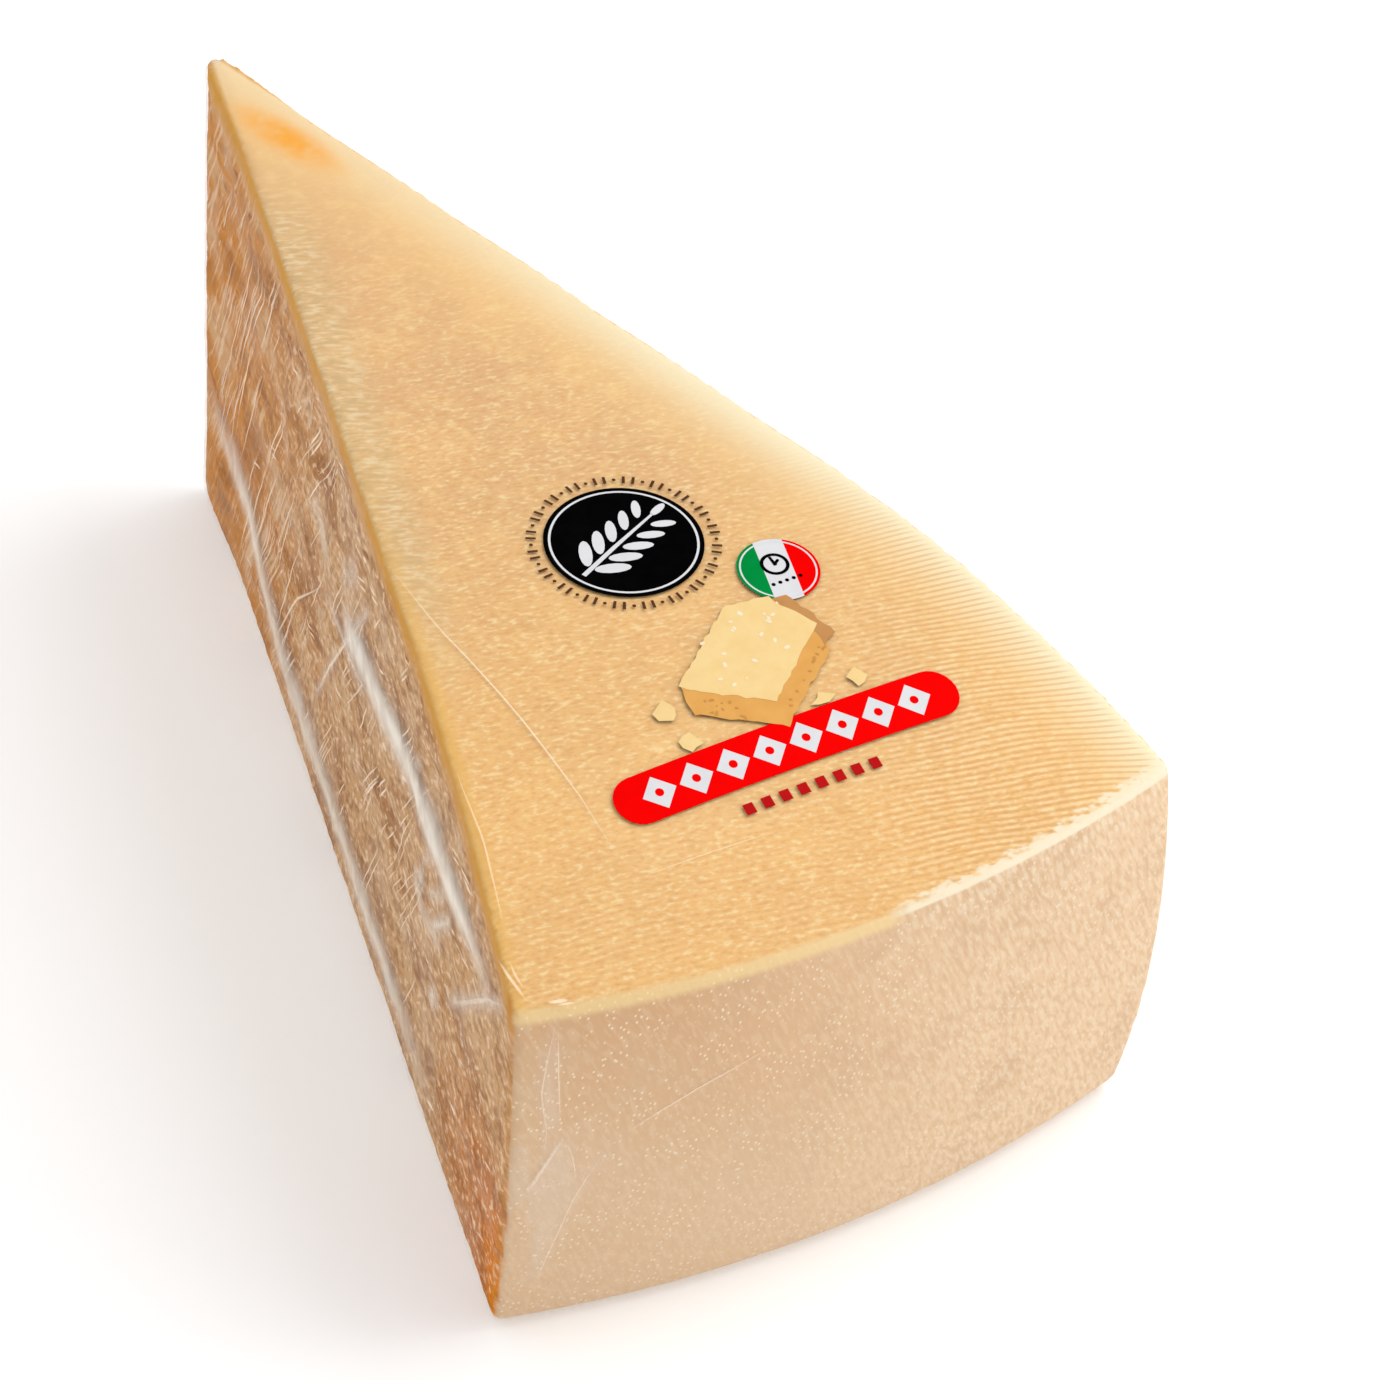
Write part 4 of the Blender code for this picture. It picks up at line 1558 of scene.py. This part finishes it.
def clear_material(name, roughness, gloss, haze, tone=HAZE_TONE):
    """See-through film with a slant-dependent gloss and a share of pale haze."""
    made, tree, shader = material(name)
    tree.nodes.remove(shader)
    clear = node(tree, "ShaderNodeBsdfTransparent")
    shine = node(tree, "ShaderNodeBsdfGlossy", [("Color", (1, 1, 1, 1)), ("Roughness", roughness)])
    pale = node(tree, "ShaderNodeBsdfDiffuse", [("Color", tone)])
    slant = node(tree, "ShaderNodeLayerWeight", [("Blend", 0.5)]).outputs["Facing"]
    share = calc(
        tree, "MULTIPLY_ADD", calc(tree, "POWER", slant, SLANT_POWER), gloss, HEAD_ON_GLOSS)
    shiny = mixed_shaders(tree, share, clear.outputs[0], shine.outputs[0])
    hazy = mixed_shaders(tree, haze(tree), shiny, pale.outputs[0])
    tree.links.new(hazy, tree.nodes["Material Output"].inputs["Surface"])
    return made


def kept_haze(tree):
    return attribute(tree, "haze")


def sheet_haze(tree):
    return ramp(tree, clouds(tree, object_place(tree), 0.008), 0.4, 0.7, 0.0, 0.004)


for piece, finish in (
    (film, clear_material("clear_film", FILM_ROUGHNESS, 0.16, kept_haze)),
    (creases_and_glints, clear_material("crease_and_glint_white", FILM_ROUGHNESS, 0.1, kept_haze, CREASE_TONE)),
    (label, clear_material("clear_label_sheet", LABEL_ROUGHNESS, 0.1, sheet_haze)),
):
    piece.data.materials.append(finish)
    print(finish.name, "has", len(finish.node_tree.nodes), "nodes")

# %% [markdown]
# Printing ink on a plastic sheet is an even colour with a slight gloss. It isn't perfectly
# flat: the ink varies a little in density, and the cheese's texture shows through the sheet.
# A soft cloud pattern darkens each colour by a few percent, and a fine bump breaks its gloss.

# %% Inks
INK_GLOSS = 0.008
INKS = {
    "ink_black": (lit(0, 0, 0), lit(6, 6, 6), 0.5, [disc, dial, hands]),
    "ink_white": (lit(232, 232, 234), lit(222, 222, 226), 0.38,
                  [disc_ring, sprig, white, roundel_ring, lozenge_row]),
    "ink_red": (lit(255, 0, 0), lit(244, 0, 0), 0.38, [red, bar, lozenge_hearts]),
    "ink_small_red": (lit(196, 22, 24), lit(180, 18, 20), 0.38, [small_row]),
    "ink_green": (lit(0, 146, 66), lit(0, 130, 56), 0.38, [green]),
    "ink_mark": (lit(96, 62, 40), lit(84, 54, 36), 0.38, [ring_marks]),
    "ink_cream": (lit(252, 220, 156), lit(246, 206, 136), 0.38, [wedge_top, crumbs]),
    "ink_pale": (lit(255, 240, 206), lit(252, 230, 190), 0.38, [wedge_pale]),
    "ink_tan": (lit(216, 158, 84), lit(206, 146, 74), 0.38, [wedge_dark]),
    "ink_amber": (lit(236, 176, 96), lit(226, 160, 82), 0.38, [wedge_side]),
    "ink_brown": (lit(206, 150, 92), lit(192, 136, 80), 0.38, [wedge_rind]),
}


def ink_material(name, tone, deeper, roughness):
    """Even ink of one colour that is a little deeper in soft patches."""
    made, tree, shader = material(name)
    place = object_place(tree)
    density = ramp(tree, clouds(tree, place, 0.003, 2, 0.6), 0.3, 0.7, 0.0, 0.5)
    tree.links.new(tint(tree, tone, deeper, density), shader.inputs["Base Color"])
    shader.inputs["Roughness"].default_value = roughness
    shader.inputs["Specular IOR Level"].default_value = INK_GLOSS
    bump = node(tree, "ShaderNodeBump", [
        ("Height", clouds(tree, place, 0.0012)), ("Strength", 0.12), ("Distance", 0.0002)])
    tree.links.new(bump.outputs[0], shader.inputs["Normal"])
    return made


for name, (tone, deeper, roughness, fields) in INKS.items():
    finish = ink_material(name, tone, deeper, roughness)
    for field in fields:
        field.data.materials.append(finish)
print("inks:", len(INKS))

# %% [markdown]
# The picture stands on plain white with soft light from all round: a pale floor, a bright even
# sky, a large key light from the far right that lights the top, and a softer one from the near
# right for the rind. The left cut face gets little light of its own, so it is the darkest.

# %% Floor, sky and lights
FLOOR_SIZE = 8.0
FLOOR_GREY = 0.80
FLOOR_ROUGHNESS = 0.9
FLOOR_GLOW = 0.24
SKY_STRENGTH = 0.84
LIGHT_AIM = Vector((0, 0, 0.04))

floor = fresh("floor", bpy.ops.mesh.primitive_plane_add, size=FLOOR_SIZE, location=(0, 0, 0))
open_edit(floor)
bpy.ops.mesh.select_all(action="SELECT")
bpy.ops.mesh.subdivide(number_cuts=3)
close_edit()
floor_material, tree, shader = material("pale_floor")
for socket, value in (
    ("Base Color", (FLOOR_GREY, FLOOR_GREY, FLOOR_GREY, 1)), ("Roughness", FLOOR_ROUGHNESS),
    ("Specular IOR Level", 0.0), ("Emission Color", (1, 1, 1, 1)),
    ("Emission Strength", FLOOR_GLOW),
):
    shader.inputs[socket].default_value = value
floor.data.materials.append(floor_material)

world = bpy.data.worlds.new("soft_sky")
bpy.context.scene.world = world
world.use_nodes = True
sky = world.node_tree.nodes["Background"]
sky.inputs["Color"].default_value = (1, 1, 1, 1)
sky.inputs["Strength"].default_value = SKY_STRENGTH
bpy.context.scene.view_settings.view_transform = "Standard"


def soft_light(name, direction, distance, size, watts):
    """A square area light that looks at the wedge from a direction."""
    data = bpy.data.lights.new(name, "AREA")
    data.size = size
    data.energy = watts
    obj = bpy.data.objects.new(name, data)
    bpy.context.scene.collection.objects.link(obj)
    out = Vector(direction).normalized()
    obj.location = LIGHT_AIM + out * distance
    obj.rotation_mode = "QUATERNION"
    obj.rotation_quaternion = out.to_track_quat("Z", "Y")


soft_light("key", (0.55, -0.15, 0.95), 1.6, 1.1, 11.0)
soft_light("near_right", (0.75, -0.60, 0.30), 1.6, 1.0, 5.0)
print("floor, sky and two lights")

# %% Ride, slots and what each piece stands for
SLOTS = {
    "cheese": [cheese],
    "film": [film, creases_and_glints],
    "label": [
        label, disc, disc_ring, sprig, ring_marks, green, white, red, roundel_ring, dial, hands,
        bar, lozenge_row, lozenge_hearts, small_row, wedge_top, wedge_side, wedge_rind, crumbs,
        wedge_pale, wedge_dark],
}
for slot, pieces in SLOTS.items():
    for piece in pieces:
        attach(piece, "root")
    print(slot, "has", len(pieces), "pieces")
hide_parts("wrapped_wedge")
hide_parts("wrapped_wedge")
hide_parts("label")
